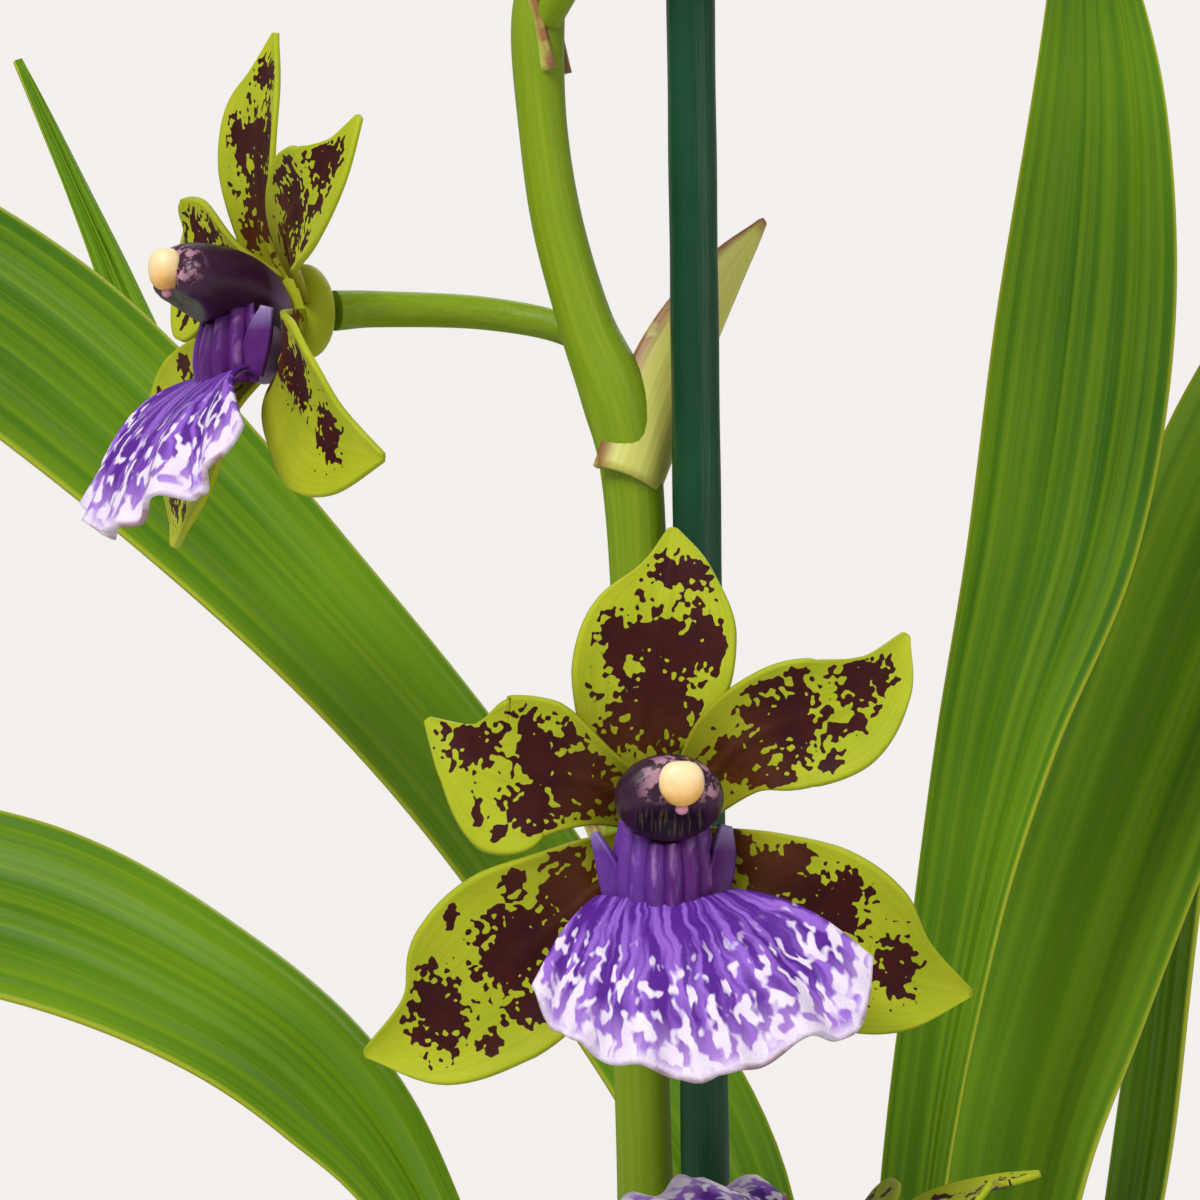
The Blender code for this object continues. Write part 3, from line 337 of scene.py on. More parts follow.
# Their skins and their small relief, mm
PETAL_THICKNESS = 0.75
CALLUS_SKIN = 0.8
LOBE_THICKNESS = 0.7
BRACT_THICKNESS = 0.8
TEPAL_RELIEF = 0.35  # the keel down a tepal's middle and the ripple near its margins
CLEAN_MARGIN = 0.84  # share of a tepal's half width beyond which its blotches thin out
LIP_CRIMP = 0.35
SHOULDER_RISE = 1.9  # how far the callus's shoulders stand above its plain crest
STAKE_DOME = 3.0
TUBE_SLANT = (0.31, 0.95, 0.05)  # any direction that no tube starts along

# The small beak under the anther cap, its centre (x, forward, z) and radii, and the cap's form
ROSTELLUM = ((1.4, 17.2, 2.1), (0.75, 0.7, 0.65))
CAP_SQUARENESS = 2.6
CAP_POINT = 0.35

# The hollow under the hood's front edge: where it starts, how far on it is full, how far it sets
# the edge back, and the share by which it flattens the underside
HOLLOW_FROM = 12.0
HOLLOW_RUN = 3.5
HOLLOW_DEPTH = 1.6
HOLLOW_LIFT = 0.45

# How far forward the column's foot and its beak count as being, for its material
FOOT_FORWARD = 1.0
BEAK_FORWARD = 18.0

# Loose chips: how many are tried, their sizes, heights and lifts, and what they keep clear of
CHIP_TRIES = 420
CHIP_SIZES = (2.6, 7.0)
CHIP_HEIGHTS = (0.9, 2.0)
CHIP_LIFTS = (0.2, 1.6)
CHIP_REACH = 0.8
CHIP_CORNERS = 14
STEM_CLEAR = 4.6
STAKE_CLEAR = 3.8
STAKE_AT_BARK = (0.4, -1.5)

# The studio, in metres and watts: each light's name, place, power and size
FLOOR_RADIUS = 1.9
SKY_COLOUR = (0.896, 0.871, 0.847, 1)
SKY_LIGHT = 0.5
LIGHTS = [
    ("key", (-0.6, -0.9, 1.4), 22.0, 0.6),
    ("fill", (1.0, -0.8, 0.7), 4.0, 0.9),
    ("rim", (0.4, 1.2, 1.1), 7.0, 0.8),
]
LIGHT_AIM = (-0.01, 0, 0.3)
CAMERA_PLACE = (-0.014, -0.730, 0.300)
LENS = 180  # mm
SENSOR_WIDTH = 36  # mm


def smooth_value(values, t):
    """The value at t, from 0 to 1, of a Catmull-Rom curve through evenly spaced values."""
    values = np.asarray(values, float)
    spans = len(values) - 1
    place = min(max(t, 0.0), 1.0) * spans
    i = min(int(place), spans - 1)
    u = place - i
    b, c = values[i], values[i + 1]
    a = values[i - 1] if i > 0 else 2 * b - c
    d = values[i + 2] if i + 2 <= spans else 2 * c - b
    return 0.5 * (2 * b + (c - a) * u + (2 * a - 5 * b + 4 * c - d) * u * u
                  + (3 * b - a - 3 * c + d) * u ** 3)


def unit(v):
    return v / max(np.linalg.norm(v), 1e-9)


def blade_frame(centres, faces, t):
    """Centre, sideways axis and facing axis of a blade at t along its midrib."""
    step = 0.002
    centre = smooth_value(centres, t)
    along = unit(smooth_value(centres, min(t + step, 1)) - smooth_value(centres, max(t - step, 0)))
    face = smooth_value(faces, t)
    face = unit(face - along * np.dot(face, along))
    return centre, np.cross(face, along), face


def blade_point(centres, faces, widths, curls, t, s, lift=0.0):
    """A point of a blade: s runs from -1 at its right margin to 1 at its left one."""
    centre, side, face = blade_frame(centres, faces, t)
    left, right = smooth_value(widths, t)
    reach = max(left if s > 0 else right, LEAST_REACH)
    bend = math.radians(max(smooth_value(curls, t), LEAST_CURL)) / reach
    off = abs(s) * reach
    across = math.sin(bend * off) / bend
    forward = (1 - math.cos(bend * off)) / bend
    return centre + side * math.copysign(across, s) + face * (forward + lift)


def forward_frame(point):
    """A point of the bloom's frame (x, forward, z) as Blender's x, y, z."""
    return np.array([point[0], -point[1], point[2]])


def lip_point(t, s):
    """The lip's blade: t from neck to edge, s from -1 at its left corner to 1."""
    u = (s + 1) / 2
    neck = smooth_value(LIP_NECK, u)
    edge = smooth_value(LIP_EDGE, u)
    swell = math.sin(math.pi * t)
    wave = LIP_WAVE * t * t * math.sin(math.pi * LIP_WAVES * s)
    out, up = LIP_SWELL
    return forward_frame(neck + (edge - neck) * t
                         + np.array([0, out * swell + wave, up * swell + LIP_WAVE_RISE * wave]))


def callus_point(t, s):
    """The callus's outer face: t from its foot to its crest, s across its ribs."""
    angle = math.radians(CALLUS_HALF_ANGLE) * s
    crest = CALLUS_CREST + CALLUS_CREST_RISE * abs(math.sin(angle)) ** 1.5
    rib = CALLUS_RIB_HEIGHT * math.cos(2 * math.pi * CALLUS_RIBS * (s + 1) / 2)
    radius = CALLUS_RADIUS + rib + CALLUS_BELLY * math.sin(math.pi * t) - CALLUS_TAPER * t
    return forward_frame((
        CALLUS_CENTRE[0] + radius * math.sin(angle),
        CALLUS_CENTRE[1] + CALLUS_DEPTH * radius * math.cos(angle),
        CALLUS_FOOT + (crest - CALLUS_FOOT) * t,
    ))


def bloom_matrix(hub, face, top, size):
    """Where a bloom's frame stands in the plant's: metres."""
    back = -Vector(face).normalized()
    right = back.cross(Vector(top)).normalized()
    turn = Matrix((right, back, right.cross(back))).transposed()
    place = turn.to_4x4() @ Matrix.Scale(size, 4)
    place.translation = Vector(hub) * MM
    return place


def pedicel_ends(hub, face, top, size):
    """Two points behind a bloom's hub, in mm, where its ovary runs in along its axis."""
    (_, forward, height), (_, depth, _) = HUB
    place = bloom_matrix(hub, face, top, size)
    return [tuple(place @ (Vector((0, depth - forward + behind, height)) * MM) / MM)
            for behind in (OVARY_LENGTH, PEDICEL_GAP)]


def smooth_line(points, count):
    """Count points of the smooth curve through the given ones."""
    return [smooth_value(points, i / (count - 1)) for i in range(count)]


def wall_radius(height):
    """The pot's outer radius at a height, without its rim."""
    return POT_FOOT_RADIUS + (POT_TOP_RADIUS - POT_FOOT_RADIUS) * height / POT_HEIGHT


def stake_point(height):
    """A point of the stake's axis at a height, mm."""
    u = (height - STAKE_FOOT[2]) / (STAKE_TOP[2] - STAKE_FOOT[2])
    return tuple(a + (b - a) * u for a, b in zip(STAKE_FOOT, STAKE_TOP))


def stem_point(height):
    """The stem's centre at a height, mm."""
    for low, high in zip(STEM_LINE, STEM_LINE[1:]):
        if low[2] <= height <= high[2]:
            u = (height - low[2]) / (high[2] - low[2])
            return tuple(a + (b - a) * u for a, b in zip(low, high))
    return STEM_LINE[-1]


def linked(name, data):
    """A new object with this data, in the scene."""
    made = bpy.data.objects.new(name, data)
    bpy.context.scene.collection.objects.link(made)
    return made


def from_bmesh(name, bm):
    """A new object with the shape of a bmesh, which is freed."""
    mesh = bpy.data.meshes.new(name)
    bm.to_mesh(mesh)
    bm.free()
    return linked(name, mesh)


def from_corners(name, corners, faces):
    """A new object from corners in mm and the faces between them."""
    mesh = bpy.data.meshes.new(name)
    mesh.from_pydata([tuple(corner * MM) for corner in corners], [], faces)
    return linked(name, mesh)


def set_field(made, key, value):
    """Stores a number at every corner: a list of them, or one for all."""
    values = np.empty(len(made.data.vertices), np.float32)
    values[:] = value
    made.data.attributes.new(key, "FLOAT", "POINT").data.foreach_set("value", values)


def place_grid(rows, columns, place):
    """The points of a fine grid, row by row, with t and s at each."""
    ts = np.linspace(0, 1, rows + 1)
    ss = np.linspace(-1, 1, columns + 1)
    points = np.array([place(t, s) for t in ts for s in ss])
    return points, np.repeat(ts, columns + 1), np.tile(ss, rows + 1)


def grid_object(name, size, place, thickness, fields=None, offset=0.0):
    """A fine blade: a grid placed by a formula, with its attributes, made solid."""
    rows, columns = size
    points, t_all, s_all = place_grid(rows, columns, place)
    wide = columns + 1
    made = from_corners(name, points, [
        (r * wide + c, r * wide + c + 1, (r + 1) * wide + c + 1, (r + 1) * wide + c)
        for r in range(rows) for c in range(columns)])
    own = fields(points, t_all, s_all) if fields else {}
    for key, value in {"along": t_all, "across": s_all, **own}.items():
        set_field(made, key, value)
    add_place(made)
    modifier = made.modifiers.new("thickness", "SOLIDIFY")
    modifier.thickness = thickness * MM
    modifier.offset = offset
    apply_modifiers(made)
    made.data.shade_smooth()
    return made


def apply_modifiers(made):
    """Replaces an object's mesh by the evaluated one."""
    graph = bpy.context.evaluated_depsgraph_get()
    mesh = bpy.data.meshes.new_from_object(made.evaluated_get(graph))
    made.modifiers.clear()
    made.data = mesh


def add_place(made):
    """Stores each corner's position in mm, so that a texture stays with the piece."""
    mesh = made.data
    co = np.empty(len(mesh.vertices) * 3, np.float32)
    mesh.vertices.foreach_get("co", co)
    attribute = mesh.attributes.new("place", "FLOAT_VECTOR", "POINT")
    attribute.data.foreach_set("vector", co / MM)


def ring_faces(spans, sides):
    """The faces between rings of corners, from each ring to the next."""
    return [(i * sides + k, i * sides + (k + 1) % sides,
             (i + 1) * sides + (k + 1) % sides, (i + 1) * sides + k)
            for i in range(spans) for k in range(sides)]


def fine_tube(name, points, radii, sides):
    """A closed round tube along the points, with how far along and round it each corner is."""
    points = np.array(points, float)
    count = len(points)
    along = np.gradient(points, axis=0)
    along /= np.linalg.norm(along, axis=1)[:, None]
    side = unit(np.cross(along[0], TUBE_SLANT))
    corners, around, travel = [], [], []
    for i in range(count):
        side = unit(side - along[i] * np.dot(side, along[i]))
        up = np.cross(along[i], side)
        for k in range(sides):
            a = 2 * math.pi * k / sides
            corners.append(points[i] + radii[i] * (math.cos(a) * side + math.sin(a) * up))
            around.append(a)
            travel.append(i / (count - 1))
    faces = ring_faces(count - 1, sides)
    faces.append(tuple(reversed(range(sides))))
    faces.append(tuple(range((count - 1) * sides, count * sides)))
    made = from_corners(name, corners, faces)
    set_field(made, "along", travel)
    set_field(made, "across", around)
    add_place(made)
    made.data.shade_smooth()
    made.data.set_sharp_from_angle(angle=math.radians(50))
    return made


def turned(name, profile, sides):
    """A turned piece from its profile of (radius, height) in mm."""
    mesh = bpy.data.meshes.new(name)
    mesh.from_pydata([(r * MM, 0, z * MM) for r, z in profile],
                     [(i, i + 1) for i in range(len(profile) - 1)], [])
    made = linked(name, mesh)
    screw = made.modifiers.new("turn", "SCREW")
    screw.steps = screw.render_steps = sides
    screw.use_merge_vertices = True
    screw.merge_threshold = 1e-5
    apply_modifiers(made)
    made.data.shade_smooth()
    made.data.set_sharp_from_angle(angle=math.radians(32))
    return made


# Materials

class Shader:
    """A material whose nodes are added by short calls. Its soft is a subsurface weight and scale."""

    def __init__(self, name, roughness, specular=0.5, soft=(0.0, 0.05)):
        self.material = bpy.data.materials.new(name)
        self.material.use_nodes = True
        self.tree = self.material.node_tree
        self.out = self.tree.nodes["Principled BSDF"]
        for socket, value in (("Roughness", roughness), ("Specular IOR Level", specular),
                              ("Subsurface Weight", soft[0]), ("Subsurface Scale", soft[1])):
            self.out.inputs[socket].default_value = value

    def put(self, node, socket, value):
        target = node.inputs[socket]
        if isinstance(value, bpy.types.NodeSocket):
            self.tree.links.new(value, target)
        elif isinstance(value, tuple) and len(value) == 3 and target.type == "RGBA":
            target.default_value = (*value, 1.0)
        else:
            target.default_value = value

    def node(self, kind, *values, **sockets):
        """A new node with its sockets filled in order, then by name."""
        made = self.tree.nodes.new(f"ShaderNode{kind}")
        for socket, value in [*enumerate(values), *sockets.items()]:
            self.put(made, socket, value)
        return made

    def attribute(self, name, output="Fac"):
        node = self.node("Attribute")
        node.attribute_type = "GEOMETRY"
        node.attribute_name = name
        return node.outputs[output]

    def place(self):
        """Where on its piece a point is, in mm."""
        return self.attribute("place", "Vector")

    def math(self, operation, a, b=0.0, c=0.0, clamp=False):
        node = self.node("Math", a, b, c)
        node.operation = operation
        node.use_clamp = clamp
        return node.outputs[0]

    def times(self, a, b, clamp=False):
        return self.math("MULTIPLY", a, b, clamp=clamp)

    def noise(self, vector, scale, detail=2.0, roughness=0.5):
        return self.node("TexNoise", Vector=vector, Scale=scale, Detail=detail,
                         Roughness=roughness).outputs["Fac"]

    def span(self, value, low, high, to_low=0.0, to_high=1.0):
        """The value with low to high spread over to_low to to_high, and held there outside."""
        return self.node("MapRange", value, low, high, to_low, to_high).outputs[0]

    def vector(self, x, y, z=0.0):
        return self.node("CombineXYZ", x, y, z).outputs[0]

    def sheet(self, u, u_scale, v, v_scale):
        """A flat coordinate for a texture, with each way scaled on its own."""
        return self.vector(self.times(u, u_scale), self.times(v, v_scale))

    def split(self, vector):
        """The x, y and z of a vector."""
        return self.node("SeparateXYZ", vector).outputs[:]

    def mix(self, factor, a, b):
        node = self.node("Mix")
        node.data_type = "RGBA"
        for socket, value in ((0, factor), (6, a), (7, b)):
            self.put(node, socket, value)
        return node.outputs[2]

    def bump(self, height, distance, strength):
        node = self.node("Bump", Height=height, Distance=distance, Strength=strength)
        self.tree.links.new(node.outputs[0], self.out.inputs["Normal"])

    def colour(self, value):
        self.put(self.out, "Base Color", value)
        return self.material


def tepal_material():
    sh = Shader("tepal", 0.55, specular=0.12, soft=(0.08, 0.001))
    place = sh.place()
    mark = sh.attribute("mark")
    fade = sh.attribute("fade")
    across = sh.attribute("across")
    along = sh.attribute("along")
    lime = sh.mix(sh.noise(place, 0.12, 2), (0.24, 0.31, 0.006), (0.44, 0.47, 0.020))
    vein_at = sh.vector(sh.times(across, 16.0), along)
    vein = sh.noise(vein_at, 1.0, 2)
    lime = sh.mix(sh.span(vein, 0.45, 0.8, 0, 0.3), lime, (0.17, 0.22, 0.006))
    # The blotches break into islands
    large = sh.math("SUBTRACT", sh.noise(place, 0.62, 1, 0.4), 0.5)
    small = sh.math("SUBTRACT", sh.noise(place, 1.3, 0, 0.4), 0.5)
    edge = sh.math("MULTIPLY_ADD", large, 1.5, mark)
    edge = sh.math("MULTIPLY_ADD", small, 1.7, edge)
    dark = sh.span(edge, 0.0, 0.05)
    maroon = sh.mix(sh.noise(place, 0.3, 3), (0.016, 0.0015, 0.003), (0.055, 0.006, 0.005))
    brown = sh.mix(sh.noise(place, 0.8, 3), (0.10, 0.016, 0.004), (0.20, 0.09, 0.006))
    maroon = sh.mix(sh.times(fade, 0.55, clamp=True), maroon, brown)
    base = sh.mix(sh.times(fade, 0.45, clamp=True), lime, brown)
    sh.bump(sh.math("MULTIPLY_ADD", vein, 0.6, sh.noise(place, 3.0, 2)), 0.0001, 0.4)
    return sh.colour(sh.mix(dark, base, maroon))


def lip_material():
    sh = Shader("lip", 0.55, specular=0.2, soft=(0.05, 0.0008))
    t, s = sh.attribute("along"), sh.attribute("across")
    place = sh.place()
    wobble = sh.times(sh.math("SUBTRACT", sh.noise(place, 0.30, 2), 0.5), 1.6)
    ray = sh.vector(sh.math("MULTIPLY_ADD", s, 13.0, wobble), sh.times(t, 1.4))
    stripe = sh.noise(ray, 1.0, 1, 0.5)
    deep = sh.mix(sh.noise(place, 0.5, 2), (0.050, 0.006, 0.17), (0.11, 0.016, 0.30))
    violet = sh.mix(sh.span(stripe, 0.46, 0.60), deep, (0.25, 0.10, 0.52))
    # Further out the violet breaks into long soft blotches on white, then into pale clouds
    blotch_at = sh.vector(sh.math("MULTIPLY_ADD", s, 15.0, wobble), sh.times(t, 9.0))
    blotch = sh.noise(blotch_at, 1.0, 1, 0.5)
    need = sh.span(t, 0.30, 0.95, 0.34, 0.52)
    inside = sh.span(sh.math("SUBTRACT", blotch, need), -0.035, 0.045)
    white_f = sh.times(sh.math("SUBTRACT", 1.0, inside), sh.span(t, 0.26, 0.52))
    cloud = sh.times(sh.span(t, 0.74, 0.92), sh.span(stripe, 0.62, 0.38, 0.25, 0.9))
    violet = sh.mix(cloud, violet, (0.44, 0.26, 0.66))
    white = sh.mix(sh.noise(place, 0.5, 2), (0.60, 0.50, 0.70), (0.76, 0.71, 0.78))
    colour = sh.mix(sh.math("MAXIMUM", white_f, sh.span(t, 0.93, 0.98, 0, 0.85)), violet, white)
    edge = sh.times(sh.span(t, 0.975, 1.0, 0.0, 0.7),
                   sh.span(sh.noise(place, 0.25, 2), 0.48, 0.60))
    colour = sh.mix(edge, colour, (0.22, 0.08, 0.07))
    sh.bump(sh.math("MULTIPLY_ADD", stripe, 1.0, sh.noise(place, 3.0, 2)), 0.00025, 0.5)
    return sh.colour(colour)


def mottled(name, roughness, scale, colours, bump, spots=None, soft=(0.0, 0.05)):
    """A material of two colours mixed by noise, and spots of a third if they are given."""
    sh = Shader(name, roughness, soft=soft)
    place = sh.place()
    colour = sh.mix(sh.noise(place, scale, 3), *colours)
    if spots:
        spot_scale, low, high, amount, tint = spots
        spot = sh.span(sh.noise(place, spot_scale, 4, 0.6), low, high, 0, amount)
        colour = sh.mix(spot, colour, tint)
    grain, detail, distance, strength = bump
    sh.bump(sh.noise(place, grain, detail), distance, strength)
    return sh.colour(colour)


def callus_material():
    sh = Shader("callus", 0.42, specular=0.25, soft=(0.05, 0.0008))
    place = sh.place()
    x, _, z = sh.split(place)
    left = sh.mix(sh.noise(place, 0.7, 3), (0.070, 0.014, 0.20), (0.13, 0.035, 0.30))
    right = sh.mix(sh.noise(place, 0.7, 3), (0.050, 0.006, 0.10), (0.105, 0.012, 0.17))
    colour = sh.mix(sh.span(x, -3.5, 0.5), left, right)
    # Painted highlight: pale pinkish streaks along the crests of the ribs
    streak = sh.noise(sh.sheet(x, 3.0, z, 0.25), 1.0, 2)
    pale = sh.times(sh.span(sh.attribute("rib"), 0.88, 1.0), sh.span(streak, 0.50, 0.66, 0, 0.6))
    colour = sh.mix(pale, colour, (0.33, 0.15, 0.40))
    tip = sh.times(sh.attribute("flap"), sh.span(z, -3.2, -0.4, 0, 0.75))
    colour = sh.mix(tip, colour, (0.28, 0.22, 0.44))
    sh.bump(sh.noise(place, 2.0, 2), 0.00012, 0.4)
    return sh.colour(colour)


def column_material():
    """Dark, marbled pink beside the cap, with painted shade and olive streaks in its throat and a
    pink beak.
    """
    sh = Shader("column", 0.4, specular=0.25)
    place = sh.place()
    forward = sh.attribute("forward")
    x, _, z = sh.split(place)
    marble = sh.noise(place, 0.62, 4, 0.65)
    dark = sh.mix(sh.noise(place, 0.35, 2), (0.014, 0.003, 0.014), (0.045, 0.009, 0.036))
    cap_x, _, cap_z = ANTHER_CAP[0]
    near = sh.math("SQRT", sh.math("ADD", sh.math("POWER", sh.math("SUBTRACT", x, cap_x), 2.0),
                                   sh.math("POWER", sh.math("SUBTRACT", z, cap_z), 2.0)))
    beside = sh.times(sh.span(near, 5.4, 3.4), sh.span(z, 2.4, 3.6))
    beside = sh.times(beside, sh.span(forward, 13.0, 15.0))
    pale = sh.times(beside, sh.span(marble, 0.50, 0.57))
    colour = sh.mix(pale, dark, (0.36, 0.19, 0.25))
    # The throat under the hood's front edge: near-black painted shade in the hollow, with its own
    # olive streaks
    olive = sh.noise(sh.sheet(x, 2.4, z, 0.25), 1.0, 2)
    throat = sh.times(sh.span(z, 2.4, 1.6), sh.span(forward, 12.5, 14.0))
    (throat_x, *_), (throat_width, *_) = HOOD_HOLLOW
    aside = sh.math("ABSOLUTE", sh.math("SUBTRACT", x, throat_x))
    throat = sh.times(throat, sh.span(aside, throat_width, 3.6))
    inside = sh.mix(sh.span(olive, 0.52, 0.62, 0, 0.8), (0.007, 0.003, 0.007), (0.085, 0.070, 0.018))
    colour = sh.mix(throat, colour, inside)
    colour = sh.mix(sh.span(forward, 17.5, 17.9), colour, (0.55, 0.24, 0.34))
    foot = sh.mix(sh.noise(place, 0.4, 2), (0.14, 0.07, 0.19), (0.27, 0.19, 0.30))
    colour = sh.mix(sh.span(forward, 5.0, 0.5), colour, foot)
    sh.bump(marble, 0.00015, 0.35)
    return sh.colour(colour)


def cap_material():
    sh = Shader("anther_cap", 0.42, specular=0.35, soft=(0.1, 0.0008))
    place = sh.place()
    # Painted shade: the cap turns from cream at its top to darker orange lower down, along a
    # wandering border
    wander = sh.math("MULTIPLY_ADD", sh.noise(place, 0.5, 3), 2.4, sh.split(place)[2])
    level = sh.math("SUBTRACT", wander, 1.2)
    colour = sh.mix(sh.span(level, ANTHER_CAP[0][2] - 1.5, ANTHER_CAP[0][2] + 0.9),
                    (0.74, 0.42, 0.10), (0.82, 0.65, 0.36))
    sh.bump(sh.noise(place, 1.8, 3), 0.00015, 0.5)
    return sh.colour(colour)


def leaf_material():
    sh = Shader("leaf", 0.48, specular=0.16, soft=(0.05, 0.002))
    t, s = sh.attribute("along"), sh.attribute("across")
    lanes = sh.noise(sh.sheet(s, 7.5, t, 1.1), 1.0, 4)
    fine = sh.noise(sh.sheet(s, 40.0, t, 2.0), 1.0, 2)
    broad = sh.noise(sh.place(), 0.014, 2)
    green = sh.mix(sh.span(broad, 0.35, 0.65), (0.030, 0.110, 0.0015), (0.105, 0.235, 0.003))
    green = sh.mix(sh.span(lanes, 0.42, 0.76, 0, 0.55), green, (0.235, 0.36, 0.006))
    green = sh.mix(sh.span(fine, 0.50, 0.90, 0, 0.25), green, (0.17, 0.29, 0.006))
    margin = sh.span(sh.math("ABSOLUTE", s), 0.955, 0.995, 0, 0.75)
    green = sh.mix(margin, green, (0.42, 0.46, 0.02))
    sh.bump(sh.math("MULTIPLY_ADD", lanes, 1.0, sh.times(fine, 0.4)), 0.0004, 0.3)
    return sh.colour(green)


def stem_material():
    sh = Shader("stem", 0.45, specular=0.2, soft=(0.05, 0.002))
    place = sh.place()
    streak = sh.noise(sh.sheet(sh.attribute("across"), 5.0, sh.attribute("along"), 14.0), 1.0, 3)
    green = sh.mix(sh.noise(place, 0.03, 3), (0.10, 0.19, 0.003), (0.22, 0.32, 0.006))
    green = sh.mix(sh.span(streak, 0.45, 0.75, 0, 0.35), green, (0.30, 0.38, 0.02))
    sh.bump(sh.math("MULTIPLY_ADD", streak, 1.0, sh.noise(place, 1.5, 2)), 0.0002, 0.35)
    return sh.colour(green)


def bract_material():
    sh = Shader("bract", 0.5, soft=(0.08, 0.002))
    t, s = sh.attribute("along"), sh.attribute("across")
    lanes = sh.noise(sh.vector(sh.times(s, 9.0), t), 1.0, 3)
    spot = sh.noise(sh.place(), 0.3, 3)
    green = sh.mix(lanes, (0.36, 0.40, 0.05), (0.60, 0.56, 0.14))
    brown = sh.math("MAXIMUM", sh.span(sh.math("ABSOLUTE", s), 0.66, 0.90),
                    sh.span(t, 0.90, 1.0))
    patch = sh.times(brown, sh.span(spot, 0.30, 0.48))
    dry = sh.mix(spot, (0.10, 0.040, 0.012), (0.36, 0.16, 0.045))
    sh.bump(lanes, 0.0003, 0.35)
    return sh.colour(sh.mix(patch, green, dry))


def bud_material():
    return mottled("bud", 0.42, 0.12, ((0.26, 0.36, 0.015), (0.48, 0.52, 0.03)),
                   (1.5, 3, 0.0002, 0.4), (0.45, 0.58, 0.62, 0.75, (0.11, 0.03, 0.012)),
                   soft=(0.08, 0.002))


def pseudobulb_material():
    return mottled("pseudobulb", 0.45, 0.07, ((0.13, 0.24, 0.02), (0.34, 0.43, 0.07)),
                   (0.6, 4, 0.0006, 0.5), (0.16, 0.54, 0.60, 0.85, (0.30, 0.20, 0.10)),
                   soft=(0.05, 0.003))


def pot_material():
    return mottled("pot", 0.36, 0.02, ((0.80, 0.775, 0.73), (0.86, 0.84, 0.80)),
                   (1.4, 4, 0.0001, 0.25))


def bark_material():
    sh = Shader("bark", 0.85)
    place = sh.place()
    grain = sh.noise(place, 0.35, 5, 0.65)
    colour = sh.mix(grain, (0.07, 0.030, 0.014), (0.30, 0.155, 0.075))
    colour = sh.mix(sh.span(sh.noise(place, 0.09, 2), 0.5, 0.7, 0, 0.6), colour,
                    (0.16, 0.10, 0.065))
    sh.bump(grain, 0.0012, 0.8)
    return sh.colour(colour)


def stake_material():
    sh = Shader("stake", 0.32, specular=0.3)
    lines = sh.noise(sh.sheet(sh.attribute("across"), 9.0, sh.attribute("along"), 30.0), 1.0, 2)
    colour = sh.mix(sh.noise(sh.place(), 0.1, 3), (0.0015, 0.030, 0.010), (0.002, 0.058, 0.022))
    sh.bump(lines, 0.00022, 0.5)
    return sh.colour(colour)


def tie_material():
    return mottled("tie", 0.5, 0.6, ((0.012, 0.085, 0.040), (0.030, 0.150, 0.070)),
                   (2.0, 2, 0.0001, 0.4))


def floor_material():
    sh = Shader("floor", 0.9)
    place = sh.node("TexCoord").outputs["Object"]
    colour = sh.mix(sh.noise(place, 3.0, 2), (0.86, 0.835, 0.81), (0.875, 0.85, 0.825))
    return sh.colour(colour)


# Markings of the tepals: x, z, half width, half height in mm and the turn in degrees
MARKS = {
    "dorsal_sepal": [
        (2.2, 29.0, 5.0, 2.0, -8), (0.0, 20.6, 6.6, 4.6, 0), (-1.8, 13.8, 5.4, 6.4, 0),
        (-5.6, 21.4, 3.0, 3.4, 0), (5.4, 20.8, 2.2, 4.2, 0), (-6.4, 9.0, 2.4, 1.8, 0),
    ],
    "left_petal": [
        (-22.6, 9.4, 3.2, 3.5, 20), (-15.2, 8.6, 2.6, 5.4, 10), (-15.6, 1.8, 3.4, 3.6, 20),
        (-10.6, 4.4, 4.6, 4.2, 0), (-22.2, 1.2, 0.8, 2.2, -5), (-19.8, -1.2, 0.8, 1.3, -10),
        (-11.4, 10.4, 1.6, 1.8, 0),
    ],
    "right_petal": [
        (22.4, 16.4, 3.6, 2.9, 15), (14.0, 11.6, 4.6, 4.4, 30), (8.6, 8.0, 4.6, 3.0, 30),
        (9.8, 12.8, 2.6, 1.3, 0), (15.0, 17.8, 1.6, 1.1, -15), (19.4, 10.8, 1.2, 1.3, 0),
        (22.0, 11.6, 1.1, 1.1, 0), (18.6, 6.9, 1.2, 1.6, 0), (12.6, 4.8, 3.6, 1.7, 0),
        (11.4, 16.2, 2.6, 1.0, 20),
    ],
    "left_sepal": [
        (-26.6, -21.6, 3.4, 4.8, 8), (-17.0, -14.0, 5.0, 5.6, -38), (-11.4, -8.2, 4.6, 3.8, -30),
        (-20.6, -25.2, 1.6, 1.2, 30), (-15.6, -21.4, 4.2, 1.6, 10), (-25.4, -10.4, 1.1, 1.5, 0),
        (-23.6, -6.8, 0.9, 0.9, 0), (-18.0, -6.0, 1.6, 2.4, 20), (-12.6, -2.6, 2.8, 2.2, 0),
    ],
    "right_sepal": [
        (26.2, -16.4, 2.4, 4.2, 5), (17.8, -9.4, 5.4, 3.4, -30), (12.6, -6.4, 4.0, 3.4, 0),
        (8.0, -1.6, 2.6, 2.4, 0), (15.0, -3.0, 1.6, 2.4, 30), (21.0, -6.8, 1.4, 2.2, 25),
        (23.4, -7.6, 0.8, 1.0, 0), (17.4, -1.2, 0.9, 0.6, 0),
    ],
}


